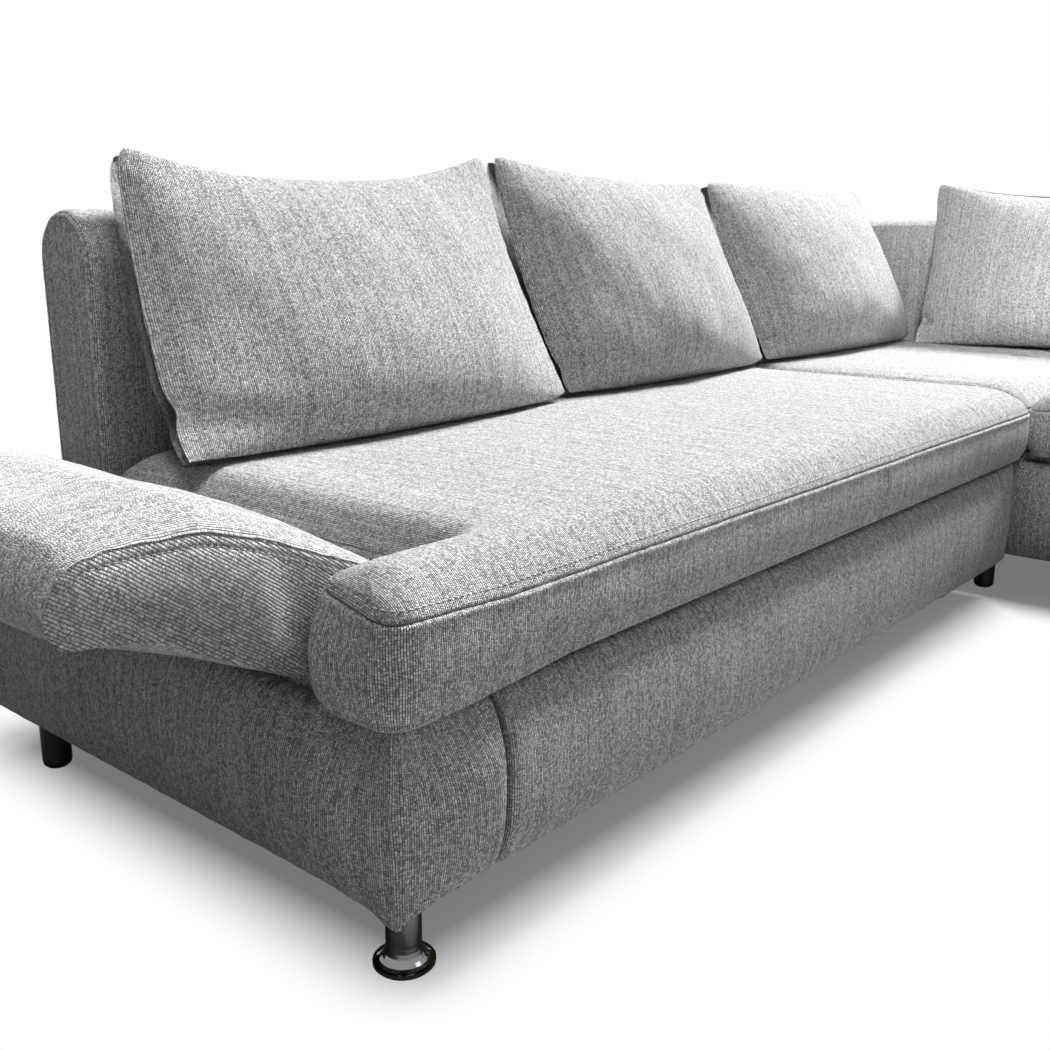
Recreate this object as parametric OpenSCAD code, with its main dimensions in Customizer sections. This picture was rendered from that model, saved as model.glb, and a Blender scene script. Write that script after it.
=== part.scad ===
// Corner sofa with a folding arm, a pull-out bed drawer and five loose back cushions.
// Lengths are in millimetres, +Z is up, +X runs along the long seat and +Y to its back rest.
// The origin is on the floor, in the middle of the front left foot.

/* [Plan] */
// Width of the long seat
long_seat_w = 1700; // [1560:5:1800]
// Depth of the long seat, from its front to the back rest
seat_depth = 760; // [740:5:860]
// Depth of the return's seat, from its inner side to its back rest
chaise_w = 865; // [840:5:960]
// How far the return comes out in front of the long seat
chaise_reach = 1100; // [900:5:1200]
// From the long seat's front back to the line between corner seat and chaise seat
corner_step = 20; // [0:5:60]
// Gap between the long seat and the return
module_gap = 5; // [3:1:10]
// Distance of the hooks between the two from the seat's front
hook_front_in = 300; // [150:10:400]
// Distance of the rear hook from the back rest
hook_rear_in = 100; // [80:10:200]
// Thickness of the back rests
back_t = 130; // [110:2:170]
// Gap between the seats and the back rests
rest_gap = 5; // [3:1:8]
// How far the return's back rest ends behind the chaise's front
rest_front_in = 20; // [10:5:60]
// Distance of the front left foot from the seat's front and left side
foot_inset = 80; // [72:1:90]

/* [Heights] */
// Length of the feet, floor to plinth
foot_h = 95; // [80:1:120]
// Underside of the seat cushions
seat_z0 = 305; // [295:1:320]
// Sewn edge round the top panel of each seat
seam_z = 397; // [385:1:405]
// Top of the seats at their edges
seat_top = 440; // [430:1:455]
// Extra height of the seats' crown
crown_h = 5; // [2:1:9]
// Top of the back rests
back_top = 765; // [720:5:820]

/* [Plinth] */
// How far the plinth stands in under the seats
plinth_in = 28; // [26:1:36]
// Outward swell of the padded plinth panels
swell = 26; // [10:1:26]
// Distance from a corner over which the swell grows
corner_blend = 110; // [80:5:140]
// Thickness of the plinth's padding
pad_t = 20; // [16:1:24]
// Gap below the seats that shows as a shadow
plinth_gap = 14; // [10:1:20]
// Thickness of the boards
board_t = 18; // [15:1:19]
// Width of the padded stile beside the drawer
stile_w = 122; // [112:1:124]
// Wooden block above each foot, side length
block_side = 60; // [50:1:70]
// Wooden block above each foot, height
block_h = 40; // [30:1:60]

/* [Arm notch] */
// Width of the notch that the arm stands in
notch_w = 178; // [172:1:200]
// Depth of the seat block in front of the arm
block_depth = 125; // [100:1:140]
// Gap between the seat block and the arm
arm_gap = 10; // [6:1:14]
// Length of the arm
arm_len = 725; // [650:5:740]
// Free space between the arm's root and the box below it
root_play = 18; // [14:1:20]
// How far the bay's left board stands in from the seat's left side
bay_in = 4; // [2:1:6]

/* [Arm section] */
// Height of the arm's hinge above the floor
hinge_z = 366; // [364:1:372]
// Distance of the hinge from the sofa's left side
hinge_in = 92; // [90:1:96]
// Radius of the arm's root
root_r = 58; // [54:1:60]
// Radius of the arm's middle
mid_r = 53; // [48:1:56]
// Radius of the arm's tip
tip_r = 44; // [38:1:48]
// Distance from hinge to the middle's centre
mid_reach = 206; // [190:1:220]
// Distance from hinge to the tip's centre
tip_reach = 284; // [270:1:300]
// Swell of the arm behind its end panels
arm_swell = 10; // [4:1:11]
// Slope of the folded-out arm
arm_tilt = 17.5; // [16:0.5:19]
// How much steeper its middle stands over the hinge
arm_arch = 3.5; // [2:0.5:5]
// Thickness of the arm's cover and wadding over its foam
arm_cover_t = 14; // [10:1:18]
// Thickness of cover and wadding over the arm's ends
arm_end_t = 12; // [8:1:16]
// Angle that the arm swings up
arm_swing = 66; // [50:1:68]

/* [Arm hinge] */
// Radius of the hinge pins
pin_r = 5; // [4:0.5:7]
// Radial running clearance of every turning bore
bore_play = 0.05; // [0.03:0.01:0.09]
// Thickness of the hinge plates
plate_t = 4; // [3:0.5:5]
// Distance of each hinge from the ends of the length that the arm shares with its box
hinge_inset = 90; // [80:1:140]
// Width of the slots in the arm for the hinge plates
slot_w = 16; // [15:0.5:24]
// Outer radius of the hinge plates round the pins
eye_r = 18; // [16:0.5:19]
// Gap between bracket plate and leaf
leaf_gap = 0.3; // [0.2:0.05:0.5]

/* [Seats] */
// Radius of the seats' top edge
edge_r = 46; // [30:1:48]
// Corner radius of the seats in plan
seat_corner_r = 26; // [24:1:40]
// Corner radius of the long seat beside the return
open_corner_r = 70; // [50:1:90]
// Depth of the sewn groove
groove = 4; // [2:0.5:5]
// Thickness of cover and wadding over the foam
cover_t = 16; // [12:1:18]
// Height of the wooden seat rails
rail_h = 25; // [20:1:28]
// Width of the wooden seat rails
rail_w = 45; // [35:1:60]
// Thickness of the upholstery webbing
web_t = 2; // [1.5:0.5:3]
// Width of the upholstery webbing
web_w = 50; // [40:1:60]
// Webbing strips across each seat
web_count = 8; // [5:1:10]

/* [Back rests] */
// Height of the rounded top of the back rests
back_round = 70; // [55:1:80]
// Padding between back frame and cover
back_pad = 20; // [16:1:26]
// Thickness of the back cover
back_cover_t = 6; // [4:1:8]
// Width of the posts in the back rests
post_w = 45; // [35:1:60]

/* [Loose cushions] */
// Width of a loose cushion along its bottom
cushion_w = 759; // [700:1:759]
// Height of a loose cushion
cushion_h = 430; // [380:5:480]
// Thickness of a loose cushion
cushion_t = 175; // [140:1:190]
// Lean of a loose cushion
cushion_lean = 12.5; // [9:0.5:14]
// Gap between neighbouring cushions
cushion_gap = 3; // [1:0.5:6]
// Free space between the loose cushions and what they touch
cushion_play = 0.3; // [0.2:0.1:0.6]
// Depth of the corner that the long seat's last cushion fills
cushion_corner = 205; // [200:1:240]

/* [Drawer] */
// Gap between stile and drawer front
drawer_gap = 14; // [10:1:16]
// Gap between the drawer front and the return
drawer_side_gap = 10; // [8:1:14]
// Thickness of the drawer's boards
drawer_board_t = 15; // [12:1:16]
// Height of the drawer's sides
drawer_side_h = 135; // [110:1:140]
// Thickness of the drawer's floor
drawer_floor_t = 9; // [6:1:10]
// Distance that the drawer pulls out
drawer_travel = 580; // [450:10:580]
// Depth of the drawer that stays inside when it is pulled out
drawer_stay = 54; // [50:1:54]
// Free space below the drawer
drawer_play = 8; // [6:1:12]
// Free space behind the closed drawer
drawer_rear_gap = 15; // [10:1:20]
// Space between drawer sides and the bay's boards
runner_space = 16; // [15:0.5:18]
// Distance of the casters from the drawer's sides
caster_in = 230; // [120:5:400]
// Distance of the casters from the drawer's front board
caster_front_in = 110; // [60:5:200]
// Distance of the rear rollers from the drawer's rear
roller_in = 25; // [20:1:35]
// Height of the mattress pad in the drawer
bed_pad_h = 160; // [130:1:164]

/* [Wheels] */
// Radius of the caster wheels
caster_r = 30; // [25:1:34]
// Width of the caster wheels
caster_w = 20; // [16:1:24]
// Radius of the caster axles
axle_r = 4; // [3:0.5:5]
// Thickness of the forks' sheet metal
sheet_t = 2; // [1.5:0.5:2.5]
// Radius of the rear rollers
roller_r = 12; // [10:1:14]
// Width of the rear rollers
roller_w = 10; // [8:1:11]
// Radius of the rear roller pins
roller_pin_r = 3; // [2.5:0.5:4]
// Height of the top of the runners under the rear rollers
runner_top = 142; // [136:1:152]
// Height of these runners
runner_h = 22; // [16:1:26]

/* [Feet] */
// Radius of the chrome tube
tube_r = 19; // [16:0.5:22]
// Radius of the flared chrome disc
disc_r = 33; // [28:1:38]
// Thickness of the disc's rim
rim_t = 4; // [3:0.5:6]
// Height of the flare above the rim
flare_h = 20; // [14:1:26]
// Thickness of the glide under a chrome foot
glide_t = 3; // [2:0.5:5]
// Radius of the black legs
leg_r = 20; // [17:0.5:24]
// Thickness of the steel plate above each foot
foot_plate_t = 3; // [2:0.5:4]
// Side length of the steel plate above each foot
foot_plate_w = 56; // [50:1:64]
// Distance of the legs from the sofa's rear
leg_in = 100; // [90:1:120]
// How much further in the feet under the return's inner side stand
inner_foot_in = 15; // [12:1:25]

/* [Hidden] */

fabric_light = [0.72, 0.72, 0.72];
fabric_mid = [0.58, 0.58, 0.58];
foam_colour = [0.90, 0.87, 0.74];
wood_colour = [0.76, 0.60, 0.40];
steel_colour = [0.62, 0.63, 0.65];
chrome_colour = [0.85, 0.86, 0.88];
black_colour = [0.09, 0.09, 0.10];

// Main lines of the plan
left = -foot_inset;
front = -foot_inset;
seat_left = left + notch_w;
right = left + long_seat_w;
back_y = front + seat_depth;
rear = back_y + back_t;
corner_left = right + module_gap;
return_back_x = corner_left + chaise_w;
outer = return_back_x + back_t;
chaise_front = front - chaise_reach;
corner_line = front + corner_step;

// Plinth and its boards
plinth_left = left + plinth_in;
plinth_front = front + plinth_in;
plinth_top = seat_z0 - plinth_gap;
return_left = corner_left + plinth_in;
return_front = chaise_front + plinth_in;
board_left = plinth_left + pad_t;
board_front = plinth_front + pad_t;
board_z0 = foot_h + foot_plate_t;
board_top = seat_z0;
rear_board_y = rear - plinth_in - board_t;
bay_left = seat_left + bay_in;
bay_inner = bay_left + board_t;
bay_right = right - plinth_in;
stile_right = plinth_left + stile_w;
arm_box_z = hinge_z - root_r - arm_swell - root_play - board_t;
return_board_x = return_left + pad_t + board_t;
outer_board_x = outer - plinth_in - board_t;

// Drawer
drawer_left = stile_right + drawer_gap;
drawer_right = corner_left - drawer_side_gap;
drawer_front_y = board_front;
drawer_inner_y = drawer_front_y + board_t;
drawer_side_left = bay_inner + runner_space;
drawer_side_right = bay_right - board_t - runner_space;
drawer_rear = drawer_inner_y + drawer_travel + drawer_stay;
drawer_z0 = board_z0 + drawer_play;
drawer_side_z = drawer_z0 + drawer_floor_t;
bay_front_y = drawer_inner_y + 4;
bay_rear_y = drawer_rear + drawer_rear_gap;

// Arm, measured from its hinge
arm_y0 = front + block_depth + arm_gap;
arm_y1 = arm_y0 + arm_len;
hinge_x = left + hinge_in;
mid_x = -cos(arm_tilt + arm_arch) * mid_reach;
mid_z = sin(arm_tilt + arm_arch) * mid_reach;
tip_x = -cos(arm_tilt) * tip_reach;
tip_z = sin(arm_tilt) * tip_reach;
hinge_y = [arm_y0 + hinge_inset, min(arm_y1, rear_board_y) - hinge_inset];
leaf_off = plate_t + leaf_gap;

// Feet and legs: positions in plan
leg_y = rear - leg_in;
inner_foot_x = corner_left + foot_inset + inner_foot_in;
outer_foot_x = outer - foot_inset;
chrome_spots = [
    [0, 0],
    [inner_foot_x, chaise_front + foot_inset],
    [outer_foot_x, chaise_front + foot_inset]
];
leg_spots = [
    [0, leg_y],
    [bay_right - board_t / 2, board_front + leg_in],
    [bay_right - board_t / 2, leg_y],
    [inner_foot_x, corner_line + foot_inset],
    [inner_foot_x, leg_y],
    [outer_foot_x, corner_line + foot_inset],
    [outer_foot_x, leg_y]
];

// Blocks above the feet stand in the corners of the boards: position of each one's front left corner
block_front_y = return_front + pad_t + board_t;
block_mid_y = corner_line + foot_inset - block_side / 2;
block_rear_y = rear_board_y - block_side;
block_outer_x = outer_board_x - block_side;
block_spots = [
    [board_left + board_t, board_front + board_t],
    [board_left + board_t, block_rear_y],
    [return_board_x, block_front_y], [block_outer_x, block_front_y],
    [return_board_x, block_mid_y], [block_outer_x, block_mid_y],
    [return_board_x, block_rear_y], [block_outer_x, block_rear_y]
];

// Seats: corners of their outlines in plan, the long seat's inner corner first
long_corners = [
    [seat_left, front + block_depth, 1, -1, 0, 0],
    [left, front + block_depth, 1, -1, seat_corner_r, 90],
    [left, front, 1, 1, seat_corner_r, 180],
    [right, front, -1, 1, open_corner_r, 270],
    [right, back_y - rest_gap, -1, -1, seat_corner_r, 0],
    [seat_left, back_y - rest_gap, 1, -1, seat_corner_r, 90]
];
half_gap = 0.5;
corner_corners = box_corners(corner_left, corner_line + half_gap,
    return_back_x - rest_gap, back_y - rest_gap, seat_corner_r);
chaise_corners = box_corners(corner_left, chaise_front,
    return_back_x - rest_gap, corner_line - half_gap, seat_corner_r);
foam_z0 = seat_z0 + rail_h + web_t;
foam_top = seat_top - cover_t;

// A closed skin over rings of points that climb along Z, all seen anticlockwise from above.
// The first point of the lowest and highest ring sees the whole of its ring.
module loft(rings) {
    n = len(rings[0]);
    m = len(rings);
    sides = [for (j = [0:m - 2], i = [0:n - 1]) let (a = j * n + i, b = j * n + (i + 1) % n)
        each [[a, a + n, b + n], [a, b + n, b]]];
    caps = [[for (i = [0:n - 1]) i], [for (i = [0:n - 1]) (m - 1) * n + (n - i) % n]];
    polyhedron(points = [for (r = rings) each r], faces = concat(sides, caps), convexity = 4);
}

// The same with caps of narrow strips, for rings that run out along one face and back along the other.
module slim_loft(rings) {
    n = len(rings[0]);
    m = len(rings);
    top = (m - 1) * n;
    sides = [for (j = [0:m - 2], i = [0:n - 1]) let (a = j * n + i, b = j * n + (i + 1) % n)
        each [[a, a + n, b + n], [a, b + n, b]]];
    low = [for (i = [0:n / 2 - 2]) each [[i, i + 1, n - 1 - i], [i + 1, n - 2 - i, n - 1 - i]]];
    high = [for (f = low) [top + f[2], top + f[1], top + f[0]]];
    polyhedron(points = [for (r = rings) each r], faces = concat(sides, low, high), convexity = 4);
}

// One ring of a rounded outline with right-angled corners, drawn in by inset at height z.
// A corner is [x, y, inward x, inward y, radius, first angle]; a radius of 0 keeps it sharp.
function outline(corners, inset, z, steps = 4) = [
    for (c = corners) let (
        r = max(c[4] - inset, 3),
        reach = inset + r,
        cx = c[0] + c[2] * reach,
        cy = c[1] + c[3] * reach
    ) each c[4] == 0
        ? [[c[0] + c[2] * inset, c[1] + c[3] * inset, z]]
        : [for (k = [0:steps]) let (a = c[5] + 90 * k / steps) [cx + r * cos(a), cy + r * sin(a), z]]
];

function box_corners(x0, y0, x1, y1, r) = [
    [x0, y0, 1, 1, r, 180], [x1, y0, -1, 1, r, 270],
    [x1, y1, -1, -1, r, 0], [x0, y1, 1, -1, r, 90]
];

// Rings of a seat: tucked bottom, swelling side, sewn groove, rounded edge and crown.
function seat_rings(corners, crown_in) = concat(
    [for (s = [[0, 10], [0.08, 3], [0.45, 0], [0.9, 1], [1, groove]])
        outline(corners, s[1], seat_z0 + s[0] * (seam_z - seat_z0))],
    [for (a = [18:18:90])
        outline(corners, groove / 2 + edge_r * (1 - cos(a)), seam_z + (seat_top - seam_z) * sin(a))],
    [outline(corners, edge_r + crown_in / 2, seat_top + 0.75 * crown_h),
     outline(corners, edge_r + crown_in, seat_top + crown_h)]
);

// How far a padded wall of the plinth stands out, at a distance from the wall's start.
function bow(d, wall) = sin(90 * min(1, d / corner_blend, (wall - d) / corner_blend));

// A padded plinth cover between two plan lines: its outer points swell along their normals and
// fall back from foot height to the top edge, its inner points lie straight behind them.
// An outer point is [x, y, normal x, normal y, share of the swell].
module skirt(outer_points, inner_box) {
    n = len(outer_points);
    steps = 6;
    slim_loft([for (k = [0:steps]) let (
        z = foot_h + (plinth_top - foot_h) * k / steps,
        out = swell * sin(180 * k / steps)
    ) concat(
        [for (p = outer_points) [p[0] + p[2] * p[4] * out, p[1] + p[3] * p[4] * out, z]],
        [for (i = [n - 1:-1:0]) let (p = outer_points[i])
            [min(max(p[0], inner_box[0]), inner_box[1]), max(p[1], inner_box[2]), z]]
    )]);
}

// Outer points of a straight wall, without its last one.
function wall(from, to, normal, n) = let (length = norm(to - from)) [
    for (i = [0:n - 1]) let (p = from + (to - from) * i / n)
        [p[0], p[1], normal[0], normal[1], bow(length * i / n, length)]
];

module foot_profile() {
    base = glide_t + rim_t;
    polygon(concat(
        [[0, glide_t], [disc_r, glide_t], [disc_r, base]],
        [for (a = [15:15:90]) [tube_r + (disc_r - tube_r) * (1 - sin(a)), base + flare_h * (1 - cos(a))]],
        [[tube_r, foot_h], [0, foot_h]]
    ));
}

module chrome_feet() {
    color(chrome_colour)
    for (p = chrome_spots)
        translate([p[0], p[1], 0])
            rotate_extrude($fn = 48)
                foot_profile();
}

module foot_glides() {
    color(black_colour)
    for (p = chrome_spots)
        translate([p[0], p[1], 0])
            cylinder(r = disc_r - 3, h = glide_t, $fn = 48);
}

// Moulded legs with a rounded lower end and a small flat sole.
module plastic_legs() {
    round_r = leg_r / 2;
    color(black_colour)
    for (p = leg_spots)
        translate([p[0], p[1], 0])
            rotate_extrude($fn = 48)
                polygon(concat(
                    [[0, 0]],
                    [for (a = [0:30:90]) [leg_r - round_r + round_r * sin(a), round_r * (1 - cos(a))]],
                    [[leg_r, foot_h], [0, foot_h]]
                ));
}

module foot_plates() {
    color(steel_colour)
    for (p = concat(chrome_spots, leg_spots))
        translate([p[0] - foot_plate_w / 2, p[1] - foot_plate_w / 2, foot_h])
            cube([foot_plate_w, foot_plate_w, foot_plate_t]);
}

module corner_blocks() {
    color(wood_colour)
    for (p = block_spots)
        translate([p[0], p[1], board_z0])
            cube([block_side, block_side, block_h]);
}

// A board or bar between two opposite corners.
module bar(a, b) {
    translate(a)
        cube(b - a);
}

module left_side_panel() {
    color(wood_colour)
    bar([board_left, board_front, board_z0], [board_left + board_t, rear_board_y, arm_box_z]);
}

module stile_panel() {
    color(wood_colour)
    bar([board_left + board_t, board_front, board_z0], [stile_right, board_front + board_t, board_top]);
}

module arm_box_top() {
    color(wood_colour)
    bar([board_left, arm_y0, arm_box_z], [bay_left, rear_board_y, arm_box_z + board_t]);
}

module inner_side_panel() {
    color(wood_colour)
    bar([bay_left, bay_front_y, board_z0], [bay_inner, rear_board_y, board_top]);
}

module right_side_panel() {
    color(wood_colour)
    bar([bay_right - board_t, bay_front_y, board_z0], [bay_right, rear_board_y, board_top]);
}

// The rear panel steps down behind the arm.
module rear_panel() {
    rear_y = rear_board_y + board_t;
    color(fabric_mid)
    union() {
        bar([board_left, rear_board_y, board_z0], [bay_right, rear_y, arm_box_z + board_t]);
        bar([bay_left, rear_board_y, board_z0], [bay_right, rear_y, board_top]);
    }
}

module bay_rear_rail() {
    color(wood_colour)
    bar([bay_inner, bay_rear_y, board_z0], [bay_right - board_t, bay_rear_y + board_t, board_top]);
}

// Padded cover of the left side and of the stile beside the drawer, sewn together at the corner.
module left_skirt() {
    corner = [plinth_left, plinth_front];
    rear_end = [plinth_left, rear_board_y + board_t];
    stile = stile_right - plinth_left;
    color(fabric_mid)
    skirt(concat(
        wall(rear_end, corner, [-1, 0], 14),
        [for (i = [0:5]) [corner[0] + stile * i / 5, corner[1], 0, -1, bow(stile * i / 5, long_seat_w)]]
    ), [board_left, right, board_front]);
}

// Wooden runners screwed to the bay's boards, on which the rear rollers roll.
module drawer_rails() {
    y0 = roller_y - drawer_travel - roller_r - 5;
    width = runner_space - 1;
    color(wood_colour)
    for (x = [bay_inner, bay_right - board_t - width])
        bar([x, y0, runner_top - runner_h], [x + width, bay_rear_y, runner_top]);
}

module drawer_front_panel() {
    side_in = 12;
    top_in = 6;
    color(wood_colour)
    bar([drawer_left + side_in, drawer_front_y, board_z0],
        [drawer_right - side_in, drawer_inner_y, plinth_top - top_in]);
}

// Padded cover of the drawer's front, in line with the stile and rounded off at its right end.
module drawer_front_skirt() {
    n = 14;
    x0 = drawer_left - plinth_left;
    width = drawer_right - drawer_left;
    color(fabric_mid)
    skirt([for (i = [0:n]) let (d = width * sin(90 * i / n))
        [drawer_left + d, plinth_front, 0, -1, bow(x0 + d, x0 + width)]],
        [drawer_left, drawer_right, drawer_front_y]);
}

module drawer_sides() {
    color(wood_colour)
    for (x = [drawer_side_left, drawer_side_right - drawer_board_t])
        difference() {
            bar([x, drawer_inner_y, drawer_side_z],
                [x + drawer_board_t, drawer_rear, drawer_side_z + drawer_side_h]);
            translate([x - 1, roller_y, roller_z])
                rotate([0, 90, 0])
                    cylinder(r = roller_pin_r, h = drawer_board_t + 2, $fn = 32);
        }
}

module drawer_rear_panel() {
    color(wood_colour)
    bar([drawer_side_left + drawer_board_t, drawer_rear - drawer_board_t, drawer_side_z],
        [drawer_side_right - drawer_board_t, drawer_rear, drawer_side_z + drawer_side_h]);
}

module drawer_floor() {
    color(wood_colour)
    bar([drawer_side_left, drawer_inner_y, drawer_z0], [drawer_side_right, drawer_rear, drawer_side_z]);
}

// Mattress pad that lies in the drawer: crowned, with rounded upright edges.
module bed_pad() {
    play = 2;
    x0 = drawer_side_left + drawer_board_t + play;
    x1 = drawer_side_right - drawer_board_t - play;
    y0 = drawer_inner_y + play;
    y1 = drawer_rear - drawer_board_t - play;
    corners = box_corners(x0, y0, x1, y1, 30);
    color(fabric_light)
    loft([for (s = [[0, 8], [0.1, 0], [0.85, 0], [0.95, 8], [0.98, 40], [1, 90]])
        outline(corners, s[1], drawer_side_z + s[0] * bed_pad_h)]);
}

caster_x = [drawer_side_left + caster_in, drawer_side_right - caster_in];
caster_y = drawer_inner_y + caster_front_in;
fork_gap = caster_w + 3;

// Folded forks below the drawer floor: a top plate and two cheeks with the axle's holes.
module caster_forks() {
    plate_half = 30;
    cheek_half = 14;
    below = 12;
    color(steel_colour)
    for (x = caster_x)
        translate([x, caster_y, 0])
            difference() {
                union() {
                    bar([-fork_gap / 2 - sheet_t, -plate_half, drawer_z0 - sheet_t],
                        [fork_gap / 2 + sheet_t, plate_half, drawer_z0]);
                    for (s = [-fork_gap / 2 - sheet_t, fork_gap / 2])
                        bar([s, -cheek_half, caster_r - below],
                            [s + sheet_t, cheek_half, drawer_z0 - sheet_t]);
                }
                translate([-fork_gap, 0, caster_r])
                    rotate([0, 90, 0])
                        cylinder(r = axle_r, h = 2 * fork_gap, $fn = 32);
            }
}

module caster_axles() {
    color(steel_colour)
    for (x = caster_x)
        translate([x - fork_gap / 2 - sheet_t - 1, caster_y, caster_r])
            rotate([0, 90, 0])
                cylinder(r = axle_r, h = fork_gap + 2 * sheet_t + 2, $fn = 32);
}

module wheel(r, w, bore_r) {
    rotate([0, 90, 0])
        translate([0, 0, -w / 2])
            difference() {
                cylinder(r = r, h = w, $fn = 48);
                translate([0, 0, -1])
                    cylinder(r = bore_r, h = w + 2, $fn = 32);
            }
}

module caster_wheel_left() {
    color(black_colour)
    translate([caster_x[0], caster_y, caster_r])
        wheel(caster_r, caster_w, axle_r + bore_play);
}

module caster_wheel_right() {
    color(black_colour)
    translate([caster_x[1], caster_y, caster_r])
        wheel(caster_r, caster_w, axle_r + bore_play);
}

roller_play = 0.1;
roller_y = drawer_rear - roller_in;
roller_z = runner_top + roller_r + roller_play;
roller_off = runner_space / 2;

module rear_roller_left() {
    color(black_colour)
    translate([bay_inner + roller_off, roller_y, roller_z])
        wheel(roller_r, roller_w, roller_pin_r + bore_play);
}

module rear_roller_right() {
    color(black_colour)
    translate([bay_right - board_t - roller_off, roller_y, roller_z])
        wheel(roller_r, roller_w, roller_pin_r + bore_play);
}

module roller_pins() {
    free = (runner_space - roller_w) / 2 - 0.4;
    reach = runner_space - free + drawer_board_t - 3;
    color(steel_colour)
    for (x = [bay_inner + free, bay_right - board_t - free - reach])
        translate([x, roller_y, roller_z])
            rotate([0, 90, 0])
                cylinder(r = roller_pin_r, h = reach, $fn = 32);
}

// Space inside a seat's cover between two heights.
module seat_core(corners, z0, z1) {
    translate([0, 0, z0])
        linear_extrude(z1 - z0)
            polygon([for (p = outline(corners, cover_t, 0)) [p[0], p[1]]]);
}

// A seat's cover with its wadding, open below.
module seat_shell(corners, crown_in) {
    difference() {
        loft(seat_rings(corners, crown_in));
        seat_core(corners, seat_z0 - 1, foam_top);
    }
}

module seat_frame() {
    rail_in = cover_t + rail_w;
    x_mid = (seat_left + right) / 2;
    color(wood_colour)
    difference() {
        seat_core(long_corners, seat_z0, seat_z0 + rail_h);
        for (x = [[seat_left + rail_in, x_mid - rail_w / 2], [x_mid + rail_w / 2, right - rail_in]])
            bar([x[0], front + rail_in, seat_z0 - 1], [x[1], back_y - rest_gap - rail_in, foam_z0]);
    }
}

// Woven strips tacked side by side across a frame, from its front rail to its rear rail.
module webbing(x0, y0, x1, y1, count) {
    in = cover_t + 10;
    for (i = [1:count]) let (x = x0 + (x1 - x0) * i / (count + 1))
        bar([x - web_w / 2, y0 + in, seat_z0 + rail_h], [x + web_w / 2, y1 - in, foam_z0]);
}

module seat_webbing() {
    color(black_colour) {
        webbing(seat_left, front, right, back_y - rest_gap, web_count);
        webbing(corner_left, corner_line, return_back_x, back_y - rest_gap, web_count / 2);
        webbing(corner_left, chaise_front, return_back_x, corner_line, web_count / 2);
    }
}

module seat_foam() {
    color(foam_colour)
    seat_core(long_corners, foam_z0, foam_top);
}

// The long seat's cover includes the block in front of the arm.
module seat_cover() {
    color(fabric_light)
    seat_shell(long_corners, 10);
}

// Shape of a back rest across its thickness: upright faces under an elliptical top.
function back_ring(inset, z) = concat(
    [[inset, seat_z0, z], [back_t - inset, seat_z0, z]],
    [for (a = [0:15:180]) [
        back_t / 2 + (back_t / 2 - inset) * cos(a),
        back_top - back_round + (back_round - inset) * sin(a),
        z
    ]]
);

// A padded back rest of the given length, standing on x = 0 with its seat side at y = 0.
module back_form(length) {
    rotate([90, 0, 90])
        loft([for (s = [[0, 12], [6, 4], [18, 0], [length - 18, 0], [length - 6, 4], [length, 12]])
            back_ring(s[1], s[0])]);
}

// Room for what lies inside a back rest's cover or foam, drawn in by the given thickness.
back_top_in = 26;
module back_core(length, in, z0) {
    bar([in, in, z0], [length - in, back_t - in, back_top - in - back_top_in]);
}

back_len = right - seat_left;
corner_back_len = chaise_w - 1;
return_back_len = rear - chaise_front - rest_front_in;
back_in = back_cover_t + 8;
frame_in = back_in + back_pad;

module back_shell(length) {
    difference() {
        back_form(length);
        back_core(length, back_in, seat_z0 - 1);
    }
}

// Foam round the frame of a back rest.
module back_filling(length) {
    difference() {
        back_core(length, back_in, seat_z0);
        back_core(length, frame_in, seat_z0 - 1);
    }
}

// Back rests of the long seat and, behind the corner seat, of the return's end.
module back_cover() {
    color(fabric_light) {
        translate([seat_left, back_y, 0])
            back_shell(back_len);
        translate([corner_left, back_y, 0])
            back_shell(corner_back_len);
    }
}

module back_foam() {
    color(foam_colour) {
        translate([seat_left, back_y, 0])
            back_filling(back_len);
        translate([corner_left, back_y, 0])
            back_filling(corner_back_len);
    }
}

// Posts between a top and a bottom rail, filling the pocket of the back foam.
module rest_frame(length, posts) {
    z0 = seat_z0;
    z1 = back_top - frame_in - back_top_in;
    span = length - 2 * frame_in - post_w;
    for (z = [z0, z1 - post_w])
        bar([frame_in, frame_in, z], [length - frame_in, back_t - frame_in, z + post_w]);
    for (i = [0:posts - 1])
        bar([frame_in + span * i / (posts - 1), frame_in, z0],
            [frame_in + span * i / (posts - 1) + post_w, back_t - frame_in, z1]);
}

module back_frame() {
    color(wood_colour) {
        translate([seat_left, back_y, 0])
            rest_frame(back_len, 4);
        translate([corner_left, back_y, 0])
            rest_frame(corner_back_len, 3);
    }
}

// The arm's section seen from its front end: root, middle and tip circles under one skin.
// Each point is taken where a line from the hinge's side meets the widest circle.
function arm_reach(a, grow) = [
    for (c = [[0, 0, root_r], [mid_x, mid_z, mid_r], [tip_x, tip_z, tip_r]])
        c[0] * cos(a) + c[1] * sin(a) + c[2] + grow
];
function arm_support(a, grow) = max(arm_reach(a, grow));
function arm_ring(grow, y) = [
    for (i = [0:29]) let (
        a = 12 * i,
        s0 = arm_support(a, grow),
        s1 = arm_support(a + 12, grow)
    ) [(s0 * sin(a + 12) - s1 * sin(a)) / sin(12), (s1 * cos(a) - s0 * cos(a + 12)) / sin(12), y]
];

// The arm lofted from its rear end to its front end.
module arm_form(grow_end, grow_mid) {
    rise = [[0, 0], [0.015, 0.45], [0.05, 0.8], [0.13, 1]];
    translate([hinge_x, arm_y1, hinge_z])
        rotate([90, 0, 0])
            loft([for (s = concat(rise, [for (i = [3:-1:0]) [1 - rise[i][0], rise[i][1]]]))
                arm_ring(grow_end + (grow_mid - grow_end) * s[1], s[0] * arm_len)]);
}

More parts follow.
